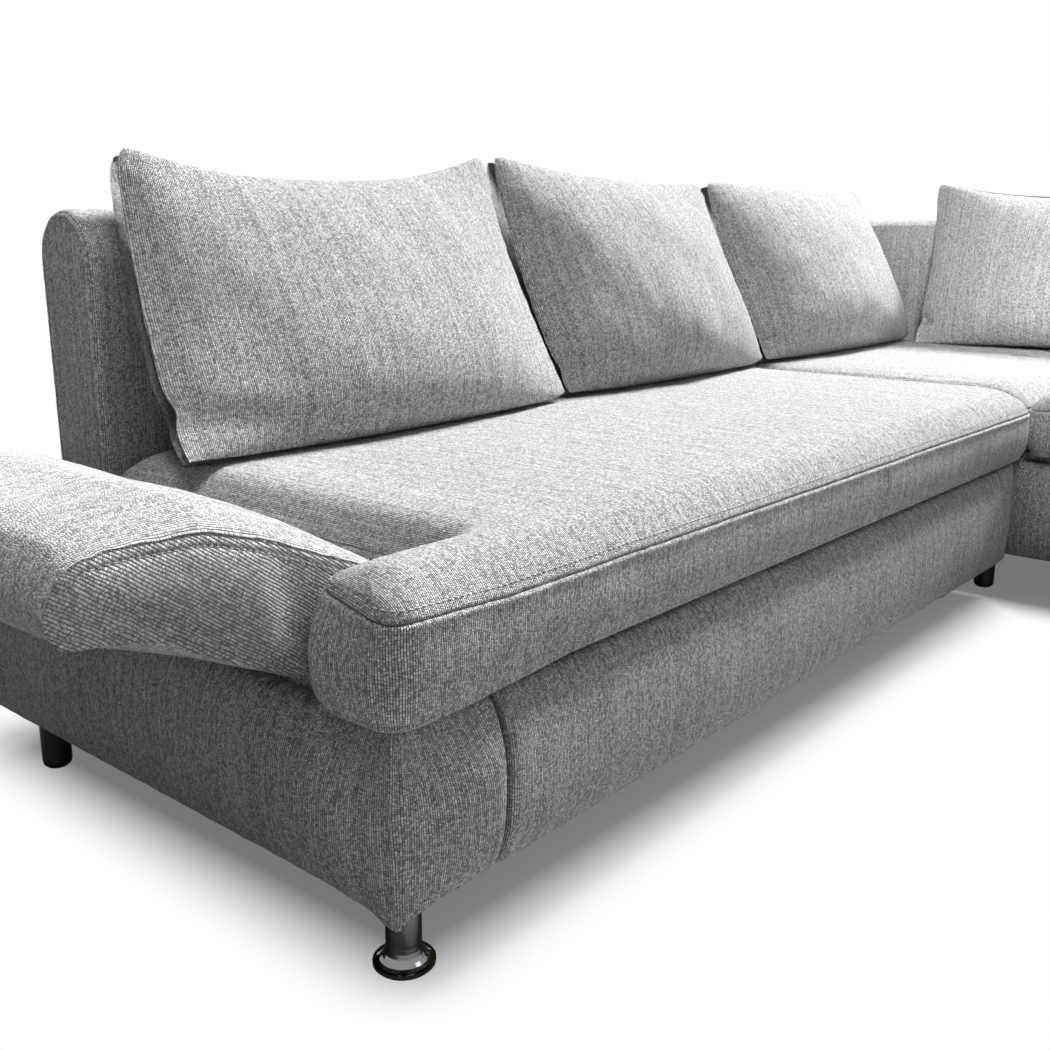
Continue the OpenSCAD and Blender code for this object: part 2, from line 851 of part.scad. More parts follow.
// Slots round the hinge where the plates stand and swing, seen from the arm's front end.
module arm_slots() {
    sweep_r = 130;
    side = eye_r + 6;
    for (y = hinge_y)
        translate([hinge_x, y + (leaf_off + plate_t + slot_w) / 2, hinge_z])
            rotate([90, 0, 0])
                linear_extrude(slot_w)
                    polygon(concat(
                        [[-side, eye_r], [-side, -sweep_r]],
                        [for (a = [-90:15:arm_swing - 60]) [sweep_r * cos(a), sweep_r * sin(a)]],
                        [[60, 40], [10, side]]
                    ));
}

// Space inside the arm's cover.
module arm_core() {
    translate([hinge_x, arm_y1 - arm_end_t, hinge_z])
        rotate([90, 0, 0])
            loft([for (z = [0, arm_len - 2 * arm_end_t]) arm_ring(-arm_cover_t, z)]);
}

module arm_cover() {
    color(fabric_light)
    difference() {
        arm_form(0, arm_swell);
        arm_core();
        arm_slots();
    }
}

module arm_board_shape() {
    end_in = 40;
    reach = 10;
    translate([hinge_x, arm_y1 - end_in, hinge_z])
        rotate([90, 0, 0])
            rotate([0, 0, -arm_tilt])
                translate([-tip_reach - reach, -board_t / 2, 0])
                    cube([tip_reach - end_in, board_t, arm_len - 2 * end_in]);
}

module arm_foam() {
    color(foam_colour)
    difference() {
        arm_core();
        arm_board_shape();
        arm_slots();
        for (y = hinge_y)
            leaf_shape(y);
    }
}

module arm_board() {
    color(wood_colour)
    difference() {
        arm_board_shape();
        for (y = hinge_y)
            leaf_shape(y);
    }
}

// A hinge leaf lies beside the bracket plate and runs into the arm board.
module leaf_shape(y) {
    leaf_len = 150;
    leaf_w = 28;
    translate([hinge_x, y + leaf_off, hinge_z])
        rotate([-90, 0, 0])
            mirror([0, 1, 0])
                linear_extrude(plate_t)
                    union() {
                        circle(r = eye_r, $fn = 48);
                        rotate(-arm_tilt)
                            translate([-leaf_len, -leaf_w / 2])
                                square([leaf_len, leaf_w]);
                    }
}

module arm_hinge_leaves() {
    color(steel_colour)
    for (y = hinge_y)
        difference() {
            leaf_shape(y);
            translate([hinge_x, y, hinge_z])
                rotate([-90, 0, 0])
                    cylinder(r = pin_r + bore_play, h = 2 * leaf_off + plate_t, $fn = 48);
        }
}

// Bracket plates screwed to the arm box, one beside each leaf.
module arm_hinge_brackets() {
    base_z = arm_box_z + board_t;
    flange = 24;
    color(steel_colour)
    for (y = hinge_y)
        translate([hinge_x, y, 0])
            difference() {
                union() {
                    bar([-eye_r, 0, base_z], [eye_r, plate_t, hinge_z]);
                    bar([-eye_r, -flange, base_z], [eye_r, plate_t, base_z + plate_t]);
                    translate([0, 0, hinge_z])
                        rotate([-90, 0, 0])
                            cylinder(r = eye_r, h = plate_t, $fn = 48);
                }
                translate([0, -1, hinge_z])
                    rotate([-90, 0, 0])
                        cylinder(r = pin_r, h = plate_t + 2, $fn = 48);
            }
}

module arm_hinge_pins() {
    color(steel_colour)
    for (y = hinge_y)
        translate([hinge_x, y - 1, hinge_z])
            rotate([-90, 0, 0])
                cylinder(r = pin_r, h = leaf_off + plate_t + 2, $fn = 48);
}

module return_inner_panel() {
    color(wood_colour)
    bar([return_left + pad_t, return_front + pad_t, board_z0],
        [return_left + pad_t + board_t, rear_board_y, board_top]);
}

module return_front_panel() {
    color(wood_colour)
    bar([return_board_x, return_front + pad_t, board_z0],
        [outer_board_x, return_front + pad_t + board_t, board_top]);
}

module return_outer_panel() {
    color(fabric_mid)
    bar([outer_board_x, return_front + pad_t, board_z0],
        [outer_board_x + board_t, rear_board_y + board_t, board_top]);
}

module return_rear_panel() {
    color(fabric_mid)
    bar([return_left + pad_t, rear_board_y, board_z0], [outer_board_x, rear_board_y + board_t, board_top]);
}

// Rail under the joint between corner seat and chaise seat.
module return_cross_rail() {
    rail_depth = 110;
    color(wood_colour)
    bar([return_board_x, corner_line - board_t / 2, board_top - rail_depth],
        [outer_board_x, corner_line + board_t / 2, board_top]);
}

// Padded cover of the return's plinth: its inner side, its front and a turn onto its outer side.
module return_skirt() {
    x1 = outer_board_x + board_t + pad_t;
    inner_end = [return_left, corner_line + foot_inset];
    color(fabric_mid)
    skirt(concat(
        wall(inner_end, [return_left, return_front], [-1, 0], 14),
        wall([return_left, return_front], [x1, return_front], [0, -1], 12),
        [[x1, return_front, 0, 0, 0], [x1, return_front + pad_t + board_t, 0, 0, 0]]
    ), [return_left + pad_t, outer_board_x + board_t, return_front + pad_t]);
}

module ring_frame(corners) {
    rail_in = cover_t + rail_w;
    difference() {
        seat_core(corners, seat_z0, seat_z0 + rail_h);
        bar([corners[0][0] + rail_in, corners[0][1] + rail_in, seat_z0 - 1],
            [corners[2][0] - rail_in, corners[2][1] - rail_in, foam_z0]);
    }
}

module return_seat_frames() {
    color(wood_colour) {
        ring_frame(corner_corners);
        ring_frame(chaise_corners);
    }
}

module corner_seat_foam() {
    color(foam_colour)
    seat_core(corner_corners, foam_z0, foam_top);
}

module corner_seat_cover() {
    color(fabric_light)
    seat_shell(corner_corners, 60);
}

module chaise_seat_foam() {
    color(foam_colour)
    seat_core(chaise_corners, foam_z0, foam_top);
}

module chaise_seat_cover() {
    color(fabric_light)
    seat_shell(chaise_corners, 60);
}

// The return's back rest stands along its outer side, with its seat side at the left.
module return_back_place() {
    translate([return_back_x, rear, 0])
        rotate([0, 0, -90])
            children();
}

module return_back_cover() {
    color(fabric_light)
    return_back_place()
        back_shell(return_back_len);
}

module return_back_foam() {
    color(foam_colour)
    return_back_place()
        back_filling(return_back_len);
}

module return_back_frame() {
    color(wood_colour)
    return_back_place()
        rest_frame(return_back_len, 4);
}

// Steel plates that hook the long part and the return together.
module module_hooks() {
    hook_w = 60;
    hook_t = 5;
    hook_z = (foot_h + seat_z0) / 2;
    color(steel_colour)
    for (y = [front + hook_front_in, back_y - hook_rear_in])
        bar([bay_right, y, hook_z], [return_left + pad_t, y + hook_w, hook_z + hook_t]);
}

// A loose cushion: knife-edged, with pointed corners, drawn-in sides and a full lower half.
// x runs along the back rest, y = 0 is the back rest's face and z = 0 the seat.
cushion_y = -cushion_t / 2;
cushion_sink = 2;
cushion_z = cushion_h / 2 * cos(cushion_lean) - cushion_sink;
cushion_edge = 5;
cushion_pitch = cushion_w + cushion_gap;
cushion_start = 4;
function cushion_point(u, v, side) = let (
    x = u * cushion_w / 2 * (1 - 0.035 * (1 - v * v) - 0.02 * (1 + v)),
    h = v * cushion_h / 2 * (1 - 0.09 * (1 - u * u) * (v > 0 ? v : 0)),
    puff = pow((1 - pow(abs(u), 2.6)) * (1 - pow(abs(v), 2.4)), 0.55) * (1 - 0.14 * v),
    d = side * (cushion_edge + (cushion_t - cushion_edge) * puff) / 2,
    y = cushion_y + h * sin(cushion_lean) + d * cos(cushion_lean),
    z = cushion_z + h * cos(cushion_lean) - d * sin(cushion_lean)
) [x, min(y, -cushion_play), max(z, cushion_play)];

module cushion() {
    nu = 16;
    nv = 11;
    us = [for (i = [0:nu]) sin(180 * i / nu - 90)];
    color(fabric_light)
    slim_loft([for (j = [0:nv]) let (v = sin(180 * j / nv - 90)) concat(
        [for (i = [0:nu]) cushion_point(us[i], v, -1)],
        [for (i = [nu:-1:0]) cushion_point(us[i], v, 1)]
    )]);
}

module long_cushion(i) {
    translate([seat_left + cushion_start + cushion_w / 2 + i * cushion_pitch, back_y, seat_top + crown_h])
        cushion();
}

module return_cushion(i) {
    translate([return_back_x, back_y - cushion_corner - cushion_w / 2 - i * cushion_pitch, seat_top + crown_h])
        rotate([0, 0, -90])
            cushion();
}

module cushion_1() { long_cushion(0); }
module cushion_2() { long_cushion(1); }
module cushion_3() { long_cushion(2); }
module cushion_4() { return_cushion(0); }
module cushion_5() { return_cushion(1); }

chrome_feet();
foot_glides();
plastic_legs();
foot_plates();
corner_blocks();
left_side_panel();
stile_panel();
arm_box_top();
inner_side_panel();
right_side_panel();
rear_panel();
bay_rear_rail();
left_skirt();
drawer_rails();
drawer_front_panel();
drawer_front_skirt();
drawer_sides();
drawer_rear_panel();
drawer_floor();
bed_pad();
caster_forks();
caster_axles();
caster_wheel_left();
caster_wheel_right();
rear_roller_left();
rear_roller_right();
roller_pins();
seat_frame();
seat_webbing();
seat_foam();
seat_cover();
back_frame();
back_foam();
back_cover();
arm_board();
arm_foam();
arm_cover();
arm_hinge_leaves();
arm_hinge_brackets();
arm_hinge_pins();
return_inner_panel();
return_front_panel();
return_outer_panel();
return_rear_panel();
return_cross_rail();
return_skirt();
return_seat_frames();
corner_seat_foam();
corner_seat_cover();
chaise_seat_foam();
chaise_seat_cover();
return_back_frame();
return_back_foam();
return_back_cover();
module_hooks();
cushion_1();
cushion_2();
cushion_3();
cushion_4();
cushion_5();
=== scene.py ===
"""A corner sofa bed with a folded-out arm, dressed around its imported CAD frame."""
import math

import bmesh
import bpy
import numpy as np
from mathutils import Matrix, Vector, geometry


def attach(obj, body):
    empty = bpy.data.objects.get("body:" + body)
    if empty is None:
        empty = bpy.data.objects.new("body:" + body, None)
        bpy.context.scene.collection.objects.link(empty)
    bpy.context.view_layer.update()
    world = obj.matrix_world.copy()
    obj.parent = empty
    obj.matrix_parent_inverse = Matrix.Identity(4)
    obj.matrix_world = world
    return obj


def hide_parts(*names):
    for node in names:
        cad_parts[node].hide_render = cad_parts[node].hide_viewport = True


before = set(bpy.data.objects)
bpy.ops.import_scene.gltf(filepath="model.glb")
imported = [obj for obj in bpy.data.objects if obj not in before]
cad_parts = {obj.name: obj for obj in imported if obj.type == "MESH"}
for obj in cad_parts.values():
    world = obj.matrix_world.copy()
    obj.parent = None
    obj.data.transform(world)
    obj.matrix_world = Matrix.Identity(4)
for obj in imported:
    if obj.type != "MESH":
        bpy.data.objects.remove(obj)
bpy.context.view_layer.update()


# Chromed front feet and black legs
# Each front foot is a steel tube on a flared disc, polished and chrome plated, on a plastic glide.
# The legs further back are moulded black plastic. Both are screwed up into the blocks in the plinth.
class Value:
    """A shader socket that takes part in Python expressions."""

    def __init__(self, finish, socket):
        self.finish, self.socket = finish, socket

    def other(self, name):
        """Another output of the same node."""
        return Value(self.finish, self.socket.node.outputs[name])

    def math(self, operation, *values):
        return self.finish.node("ShaderNodeMath", {"operation": operation}, dict(enumerate(values)))

    def __add__(self, value):
        return self.math("ADD", self, value)

    def __sub__(self, value):
        return self.math("SUBTRACT", self, value)

    def __rsub__(self, value):
        return self.math("SUBTRACT", value, self)

    def __mul__(self, value):
        return self.math("MULTIPLY", self, value)

    def __truediv__(self, value):
        return self.math("DIVIDE", self, value)

    def __pow__(self, value):
        return self.math("POWER", self, value)

    def __mod__(self, value):
        return self.math("FLOORED_MODULO", self, value)

    def __gt__(self, value):
        return self.math("GREATER_THAN", self, value)

    def floor(self):
        return self.math("FLOOR", self)

    def size(self):
        return self.math("ABSOLUTE", self)

    def limit(self):
        return self.finish.node("ShaderNodeClamp", {}, {"Value": self})

    __radd__, __rmul__ = __add__, __mul__


class Finish:
    """A finish being mixed, for a material or for the studio's world, and the one way to add a node to it."""

    def __init__(self, name, world=None):
        self.material = world or bpy.data.materials.new(name)
        self.material.use_nodes = True
        self.tree = self.material.node_tree
        self.tree.nodes.clear()

    def node(self, kind, settings=None, sockets=None):
        """Adds a node, makes its settings, and sets or links its sockets; returns its first output."""
        made = self.tree.nodes.new(kind)
        for name, setting in (settings or {}).items():
            setattr(made, name, setting)
        for name, value in (sockets or {}).items():
            if isinstance(value, Value):
                self.tree.links.new(value.socket, made.inputs[name])
            else:
                made.inputs[name].default_value = value
        return Value(self, made.outputs[0]) if made.outputs else None

    def place(self):
        return self.node("ShaderNodeTexCoord").other("Object")

    def stretched(self, place, x, y, z):
        return self.node("ShaderNodeVectorMath", {"operation": "MULTIPLY"}, {0: place, 1: (x, y, z)})

    def noise(self, place, scale, detail=3.0, roughness=0.5):
        return self.node("ShaderNodeTexNoise", {},
                         {"Vector": place, "Scale": scale, "Detail": detail, "Roughness": roughness})

    def mixed(self, share, one, other):
        """Two colours mixed by a share."""
        mix = self.node("ShaderNodeMix", {"data_type": "RGBA"}, {0: share})
        for socket, colour in ((6, one), (7, other)):
            if isinstance(colour, Value):
                self.tree.links.new(colour.socket, mix.socket.node.inputs[socket])
            else:
                mix.socket.node.inputs[socket].default_value = (*colour, 1)
        return Value(self, mix.socket.node.outputs[2])

    def surface(self, height, relief, **sockets):
        """Closes the finish with its shader and a bump of that height."""
        values = {name.replace("_", " "): value for name, value in sockets.items()}
        values["Normal"] = self.node(
            "ShaderNodeBump", {}, {"Height": height, "Distance": relief, "Strength": 1.0})
        shader = self.node("ShaderNodeBsdfPrincipled", {}, values)
        self.node("ShaderNodeOutputMaterial", {}, {"Surface": shader})
        return self.material


def chrome_plate():
    chrome = Finish("chrome plate")
    place = chrome.place()
    smear = chrome.noise(place, 35, 4)
    polish = chrome.noise(chrome.stretched(place, 60, 60, 900), 1, 2)
    # painted reflection: the plate's colour is held dark, well below bright chrome, to stand for the dark
    # surroundings its polish mirrors; the smear varies it at random
    return chrome.surface(
        Base_Color=chrome.mixed(smear, (0.20, 0.205, 0.212), (0.27, 0.275, 0.283)), Metallic=1.0,
        Roughness=0.05 + smear * 0.07, height=polish, relief=0.00002)


def moulded_black():
    plastic = Finish("moulded black plastic")
    place = plastic.place()
    grain = plastic.noise(place, 1400, 2)
    dust = plastic.noise(place, 22, 4)
    return plastic.surface(
        Base_Color=plastic.mixed(dust, (0.006, 0.006, 0.0065), (0.016, 0.016, 0.0165)),
        Roughness=0.34 + dust * 0.22, height=grain, relief=0.00012)


def zinc_plated():
    steel = Finish("zinc plated steel")
    place = steel.place()
    flower = steel.node("ShaderNodeTexVoronoi", {}, {"Vector": place, "Scale": 260}).other("Color")
    cloud = steel.noise(place, 30, 4)
    spangle = steel.node("ShaderNodeSeparateColor", {}, {"Color": flower})
    return steel.surface(
        Base_Color=steel.mixed(cloud, (0.42, 0.43, 0.44), (0.60, 0.61, 0.62)), Metallic=1.0,
        Roughness=0.30 + spangle * 0.14 + cloud * 0.1, height=cloud, relief=0.0002)


def dress(names, material):
    """Gives a finish to nodes of the frame that stay as they are."""
    for name in names:
        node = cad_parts[name]
        if not node.material_slots:
            node.data.materials.append(material)
        for slot in node.material_slots:
            slot.material = material


black_plastic, zinc_steel = moulded_black(), zinc_plated()
dress(["chrome_feet"], chrome_plate())
dress(["foot_glides", "plastic_legs"], black_plastic)
dress(["foot_plates"], zinc_steel)


# Boards of the plinth
# Chipboard panels, glued and stapled at their corners, with beech blocks above the feet.
# A dark lining of bonded fibre is stapled over the boards that stand against the wall.
def pressed_chips():
    board = Finish("raw chipboard")
    place = board.place()
    layers = board.stretched(place, 1, 1, 2.6)
    cells = board.node("ShaderNodeTexVoronoi", {}, {"Vector": layers, "Scale": 260}).other("Color")
    chips = board.node("ShaderNodeSeparateColor", {}, {"Color": cells})
    dust = board.noise(place, 90, 5, 0.6)
    shade = board.mixed(chips, (0.34, 0.22, 0.12), (0.66, 0.50, 0.31))
    return board.surface(
        Base_Color=board.mixed(dust * 0.6, shade, (0.55, 0.42, 0.27)), Roughness=0.72 + dust * 0.2,
        height=chips * 0.5 + dust, relief=0.0006)


def planed_beech():
    wood = Finish("planed beech")
    place = wood.place()
    bend = wood.noise(place, 3.5, 2)
    grain = wood.stretched(place, 1.6, 46, 46)
    warped = wood.node("ShaderNodeVectorMath", {"operation": "ADD"}, {0: grain, 1: bend})
    years = wood.noise(warped, 1, 4, 0.6)
    flecks = wood.noise(wood.stretched(place, 70, 900, 900), 1, 1) > 0.63
    shade = wood.mixed(years, (0.47, 0.29, 0.16), (0.72, 0.52, 0.33))
    return wood.surface(
        Base_Color=wood.mixed(flecks * 0.35, shade, (0.33, 0.19, 0.10)), Roughness=0.48 + years * 0.2,
        height=years + flecks * -0.4, relief=0.0003)


def bonded_lining():
    lining = Finish("bonded lining")
    place = lining.place()
    points = lining.node("ShaderNodeTexVoronoi", {}, {"Vector": place, "Scale": 420, "Randomness": 0.25})
    fibres = lining.noise(lining.stretched(place, 1, 1, 3), 300, 4, 0.7)
    pressed = points.other("Distance") > 0.34
    return lining.surface(
        Base_Color=lining.mixed(fibres, (0.030, 0.030, 0.032), (0.075, 0.075, 0.078)),
        Roughness=0.78 + fibres * 0.15, height=pressed * 0.5 + fibres, relief=0.0005)


chipboard, beech = pressed_chips(), planed_beech()
dress(["left_side_panel", "stile_panel", "inner_side_panel", "right_side_panel",
       "bay_rear_rail", "return_inner_panel", "return_front_panel"], chipboard)
dress(["corner_blocks", "return_cross_rail"], beech)
dress(["rear_panel", "return_outer_panel", "return_rear_panel", "arm_box_top"], bonded_lining())


# Padded cover of the long seat's plinth
# Fabric over a layer of foam, pulled round the left side board and the stile and stapled beneath.
# One upright seam joins its two lengths at the corner, and it sags to a point over the chromed foot.
def run_along(path):
    """Length along a plan path up to each of its points."""
    return np.concatenate([[0], np.cumsum(np.hypot(*np.diff(path, axis=0).T))])


def distance_to(outline, spots):
    """Distance of each spot from a closed plan outline."""
    near = np.full(len(spots), 1e9)
    for a, b in zip(outline, np.roll(outline, -1, 0)):
        side = b - a
        share = np.clip(((spots - a) @ side) / max(side @ side, 1e-9), 0, 1)
        near = np.minimum(near, np.hypot(*(spots - a - share[:, None] * side).T))
    return near


def hang(name, mesh, material, body):
    """Shows a mesh of cloth or thread as a piece that moves with a body."""
    mesh.shade_smooth()
    mesh.materials.append(material)
    piece = bpy.data.objects.new(name, mesh)
    bpy.context.scene.collection.objects.link(piece)
    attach(piece, body)
    return piece


class Cover:
    """A sewn cover in millimetres: points, each with its place on the flat cloth, and rows of stitches."""

    def __init__(self):
        self.points, self.flat, self.faces, self.rows, self.count = [], [], [], [], 0

    def panel(self, points, flat):
        """Adds a grid of points in rows; its front is seen with the rows running up, left to right."""
        points = np.asarray(points, float)
        rows, columns = points.shape[:2]
        index = self.count + np.arange(rows * columns).reshape(rows, columns)
        quads = np.stack([index[:-1, :-1], index[:-1, 1:], index[1:, 1:], index[1:, :-1]], -1)
        self.add(points.reshape(-1, 3), np.asarray(flat, float).reshape(-1, 2), quads.reshape(-1, 4).tolist())

    def add(self, points, flat, faces):
        """Adds points with their places on the cloth, and faces that already count from the cover's start."""
        self.points.append(points)
        self.flat.append(flat)
        self.faces += faces
        self.count += len(points)

    def fill(self, outline, lift, flat, pitch=16.0, keep=9.0):
        """Closes a flat outline with an even mesh; lift and flat place it in space and on the cloth."""
        outline = np.asarray(outline, float)
        low, high = outline.min(0) + pitch / 2, outline.max(0)
        grid = np.stack(np.meshgrid(*(np.arange(a, b, pitch) for a, b in zip(low, high))), -1).reshape(-1, 2)
        inside = np.zeros(len(grid), bool)
        for a, b in zip(outline, np.roll(outline, -1, 0)):
            if a[1] != b[1]:
                crosses = (a[1] > grid[:, 1]) != (b[1] > grid[:, 1])
                inside ^= crosses & (grid[:, 0] < (b[0] - a[0]) * (grid[:, 1] - a[1]) / (b[1] - a[1]) + a[0])
        inner = grid[inside & (distance_to(outline, grid) > keep)]
        count = len(outline)
        edges = [(i, (i + 1) % count) for i in range(count)]
        spots = [Vector(p) for p in np.vstack([outline, inner])]
        found = geometry.delaunay_2d_cdt(spots, edges, [], 1, 1e-5)
        plan = np.array([tuple(p) for p in found[0]])
        self.add(lift(plan), flat(plan), [[self.count + i for i in face] for face in found[2]])

    def sew(self, name, material, body, *nodes):
        """Joins the panels where their edges meet, and shows the cover in place of the nodes."""
        points, flat = np.vstack(self.points), np.vstack(self.flat)
        _, first, index = np.unique(np.round(points * 20).astype(np.int64), axis=0,
                                    return_index=True, return_inverse=True)
        index = index.reshape(-1)
        faces, places = [], []
        for face in self.faces:
            ring = [(int(index[i]), i) for i in face]
            ring = [pair for k, pair in enumerate(ring) if pair[0] != ring[k - 1][0]]
            if len(ring) > 2 and len({pair[0] for pair in ring}) == len(ring):
                faces.append([pair[0] for pair in ring])
                places += [pair[1] for pair in ring]
        mesh = bpy.data.meshes.new(name)
        mesh.from_pydata((points[first] * 0.001).tolist(), [], faces)
        cloth = mesh.uv_layers.new(name="cloth")
        cloth.data.foreach_set("uv", (flat[places] * 0.001).astype(np.float32).ravel())
        shell = bmesh.new()
        shell.from_mesh(mesh)
        bmesh.ops.recalc_face_normals(shell, faces=shell.faces)
        shell.to_mesh(mesh)
        shell.free()
        piece = hang(name, mesh, material, body)
        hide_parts(*nodes)
        return piece


def ripple(seed, length):
    """Gentle waves over the cloth, all about one length in millimetres, between minus one and one."""
    pick, count = np.random.default_rng(seed), 9
    turns, starts = pick.uniform(0, math.tau, count), pick.uniform(0, math.tau, count)
    lengths = length * pick.uniform(0.7, 1.5, count)

    def height(x, y):
        waves = [np.sin(math.tau * (x * math.cos(t) + y * math.sin(t)) / n + s)
                 for t, s, n in zip(turns, starts, lengths)]
        return sum(waves) / math.sqrt(count) / 1.6

    return height


def melange_weave():
    """Thick slub yarn in light and dark greys: upright cords of uneven nubs, with painted shade, nearly
    black, in the thin gaps between them.
    """
    cloth = Finish("melange weave")
    flat = cloth.node("ShaderNodeUVMap", {"uv_map": "cloth"})
    split = cloth.node("ShaderNodeSeparateXYZ", {}, {"Vector": flat})
    x, y = split, split.other("Y")
    waver = cloth.noise(cloth.stretched(flat, 1, 0.3, 1), 60, 2)
    across = x / 0.0025 + (waver - 0.5) * 1.6
    cord = across.floor()
    side = (across % 1.0) * 2.0 - 1.0
    tone = cloth.node("ShaderNodeTexWhiteNoise", {"noise_dimensions": "1D"}, {"W": cord})
    spot = cloth.node("ShaderNodeCombineXYZ", {}, {"X": cord * 7.31, "Y": y / 0.0042, "Z": tone * 9.0})
    sway = cloth.noise(spot, 0.45, 1)
    along = y / 0.0026 + tone * 5.0 + sway * 3.4
    chosen = cloth.node("ShaderNodeTexWhiteNoise", {"noise_dimensions": "2D"}, {
        "Vector": cloth.node("ShaderNodeCombineXYZ", {}, {"X": cord, "Y": along.floor()})})
    pinch = (along % 1.0) * 2.0 - 1.0
    pinch = (pinch * pinch) * (pinch * pinch)
    round_cord = (1.0 - side * side * side.size()).limit()
    height = round_cord * (1.0 - pinch * 0.75)
    streak = cloth.noise(cloth.stretched(flat, 190, 22, 1), 1, 2)
    cloud = cloth.noise(flat, 60, 3, 0.6)
    fibres = cloth.noise(cloth.stretched(flat, 1, 0.5, 1), 2300, 2)
    light = chosen * 0.74 + (tone - 0.5) * 0.24 + (streak - 0.5) * 0.38 + (cloud - 0.5) * 0.14
    light = light + (fibres - 0.5) * 0.5 + 0.175
    yarn = cloth.mixed(light.limit(), (0.21, 0.21, 0.212), (0.93, 0.93, 0.925))
    # painted shade: the yarn darkens to nearly black where its height falls away into the gaps between cords
    # and between nubs
    shown = (height * 1.8 - 0.30).limit()
    return cloth.surface(
        Base_Color=cloth.mixed(shown, (0.045, 0.045, 0.046), yarn), Roughness=0.84 + fibres * 0.12,
        Specular_IOR_Level=0.2, Sheen_Weight=0.12, Sheen_Roughness=0.6,
        height=height * 0.75 + chosen * 0.3 + fibres * 0.14, relief=0.0016)


woven_fabric = melange_weave()


# Heights of the skirt's lower and upper edge, and the plan lines of its face and of its turned-in edges
hem, brim = 95.0, 291.0
face_line, turned_line = -52, -32


def plinth_swell(z, fullness):
    """How far the padding stands out from the plinth's outline at a height."""
    share = np.clip((z - hem) / (brim - hem), 0, 1)
    return 26.0 * (1 - np.abs(2 * share - 1) ** 2.6) ** 0.75 * fullness


def bow(distance, length):
    """Share of the swell at a distance along a side; it grows over the side's first and last 110 mm."""
    return np.sin(np.pi / 2 * np.minimum(1, np.minimum(distance, length - distance) / 110.0))


def plinth_cover(path, inner, seed, droop=lambda run: run * 0, seam=None, collar=True):
    """Skirt over a plan path: rows of (x, y, outward x, outward y, bow share), turned in at all its edges."""
    cover = Cover()
    run, count = run_along(path[:, :2]), len(path)
    # Profile from the hem turned in beneath, up the padded face, to the edge turned in on top
    face = np.concatenate([[hem, 95.8, 98.5, 103], np.linspace(109, 277, 19), [283, 288, 290.5, brim]])
    depth = np.concatenate([[-7.0, -3.2, -0.9, 0.0], np.zeros(19), [-0.3, -1.2, -3.8, -8.0]])
    waves, pucker = ripple(seed, 190), ripple(seed + 1, 34)
    rows, flat = [], []
    for z, inwards in zip(face, depth):
        edge = min(z - hem, brim - z)
        out = plinth_swell(z, path[:, 4]) + inwards
        out = out + waves(run, z) * 1.6 * min(1, edge / 30)
        out = out + pucker(run, z * 0.4) * 0.9 * math.exp(-edge / 22)
        drawn = 0.0
        if seam is not None:
            off = run - seam
            out = out - 3.2 * np.exp(-(off / 2.4) ** 2) + 1.2 * np.exp(-(off.clip(-20, 20) / 8.0) ** 2)
            # the cloth is gathered towards the top of the corner
            drawn = off * 0.5 * np.exp(-(off / 110.0) ** 2) * np.exp(-((brim - z) / 60.0) ** 2)
        low = droop(run) * (1 - (z - hem) / (brim - hem)) ** 2.4
        rows.append(np.stack([path[:, 0] + path[:, 2] * out, path[:, 1] + path[:, 3] * out, z - low], -1))
        flat.append(np.stack([run + drawn, np.full(count, z + seed * 31)], -1))
    for row, rise, step in ((0, 1.0, -22.0), (-1, -1.0, 22.0)):
        turned = np.column_stack([inner, rows[row][:, 2] + rise])
        strip, place = [turned, rows[row]], [flat[row] + [0, step], flat[row]]
        cover.panel(*((strip[::-1], place[::-1]) if row else (strip, place)))
    if collar:
        # the cloth runs on up the board to the seat above
        start, seat_bottom = 289.5, 304.3
        rise = seat_bottom - start
        foot = np.column_stack([inner + path[:, 2:4] * 0.8, np.full(count, start)])
        cover.panel([foot, foot + [0, 0, rise]], [flat[-1] + [0, 24], flat[-1] + [0, 24 + rise]])
    cover.panel(rows, flat)
    grid, places = np.stack(rows), np.stack(flat)
    for column, side in ((0, -1), (-1, 1)):
        edge = grid[:, column]
        turned = np.column_stack([np.tile(inner[column], (len(edge), 1)), np.clip(edge[:, 2], 96, 290)])
        strip = np.stack([turned, edge * 0.72 + turned * 0.28, edge], 1)
        place = places[:, column][:, None] + np.array([[side * 24.0, 0], [side * 8.0, 0], [0, 0]])
        cover.panel(strip[:, ::-side], place[:, ::-side])
    return cover


def corner_path():
    """Along the left side from the rear, round the front corner, to the stile's end beside the drawer."""
    side = [0, 1.5, 5, 10, *np.linspace(20, 734, 62), *np.linspace(744, 829, 16), 832, 834]
    stile = [2.0, 5, *np.linspace(12, 114, 14), 121, 126, 128, 128.8]
    rows = [(face_line, 782 - d, -1, 0, bow(834 - d, 900) * min(1, 0.25 + d / 60)) for d in side]
    corner = len(rows) - 1
    rows += [(face_line + d, face_line, 0, -1, bow(d, 1700)) for d in stile]
    rows = np.array(rows, float)
    rows[corner, 2:4] = -0.7, -0.7
    # the stile's end is rounded over beside the drawer
    for k, back in ((-1, 9.0), (-2, 4.0), (-3, 1.4)):
        rows[k, 1] += back
    behind, place = np.maximum(rows[:, :2], turned_line), np.arange(len(rows))
    inner = np.stack([np.where(place <= corner, turned_line, behind[:, 0]),
                      np.where(place < corner, behind[:, 1], turned_line)], -1)
    return rows, inner


def sag_at_foot(run):
    """How far the hem hangs down to its point over the foot."""
    return 9 * np.exp(-((run - 822) / 60.0) ** 2) + 9 * np.exp(-((run - 818) / 15.0) ** 2)


rows, inner = corner_path()
left_skirt = plinth_cover(rows, inner, 3, seam=834, droop=sag_at_foot)
left_skirt = left_skirt.sew("left_plinth_cover", woven_fabric, "base", "left_skirt")


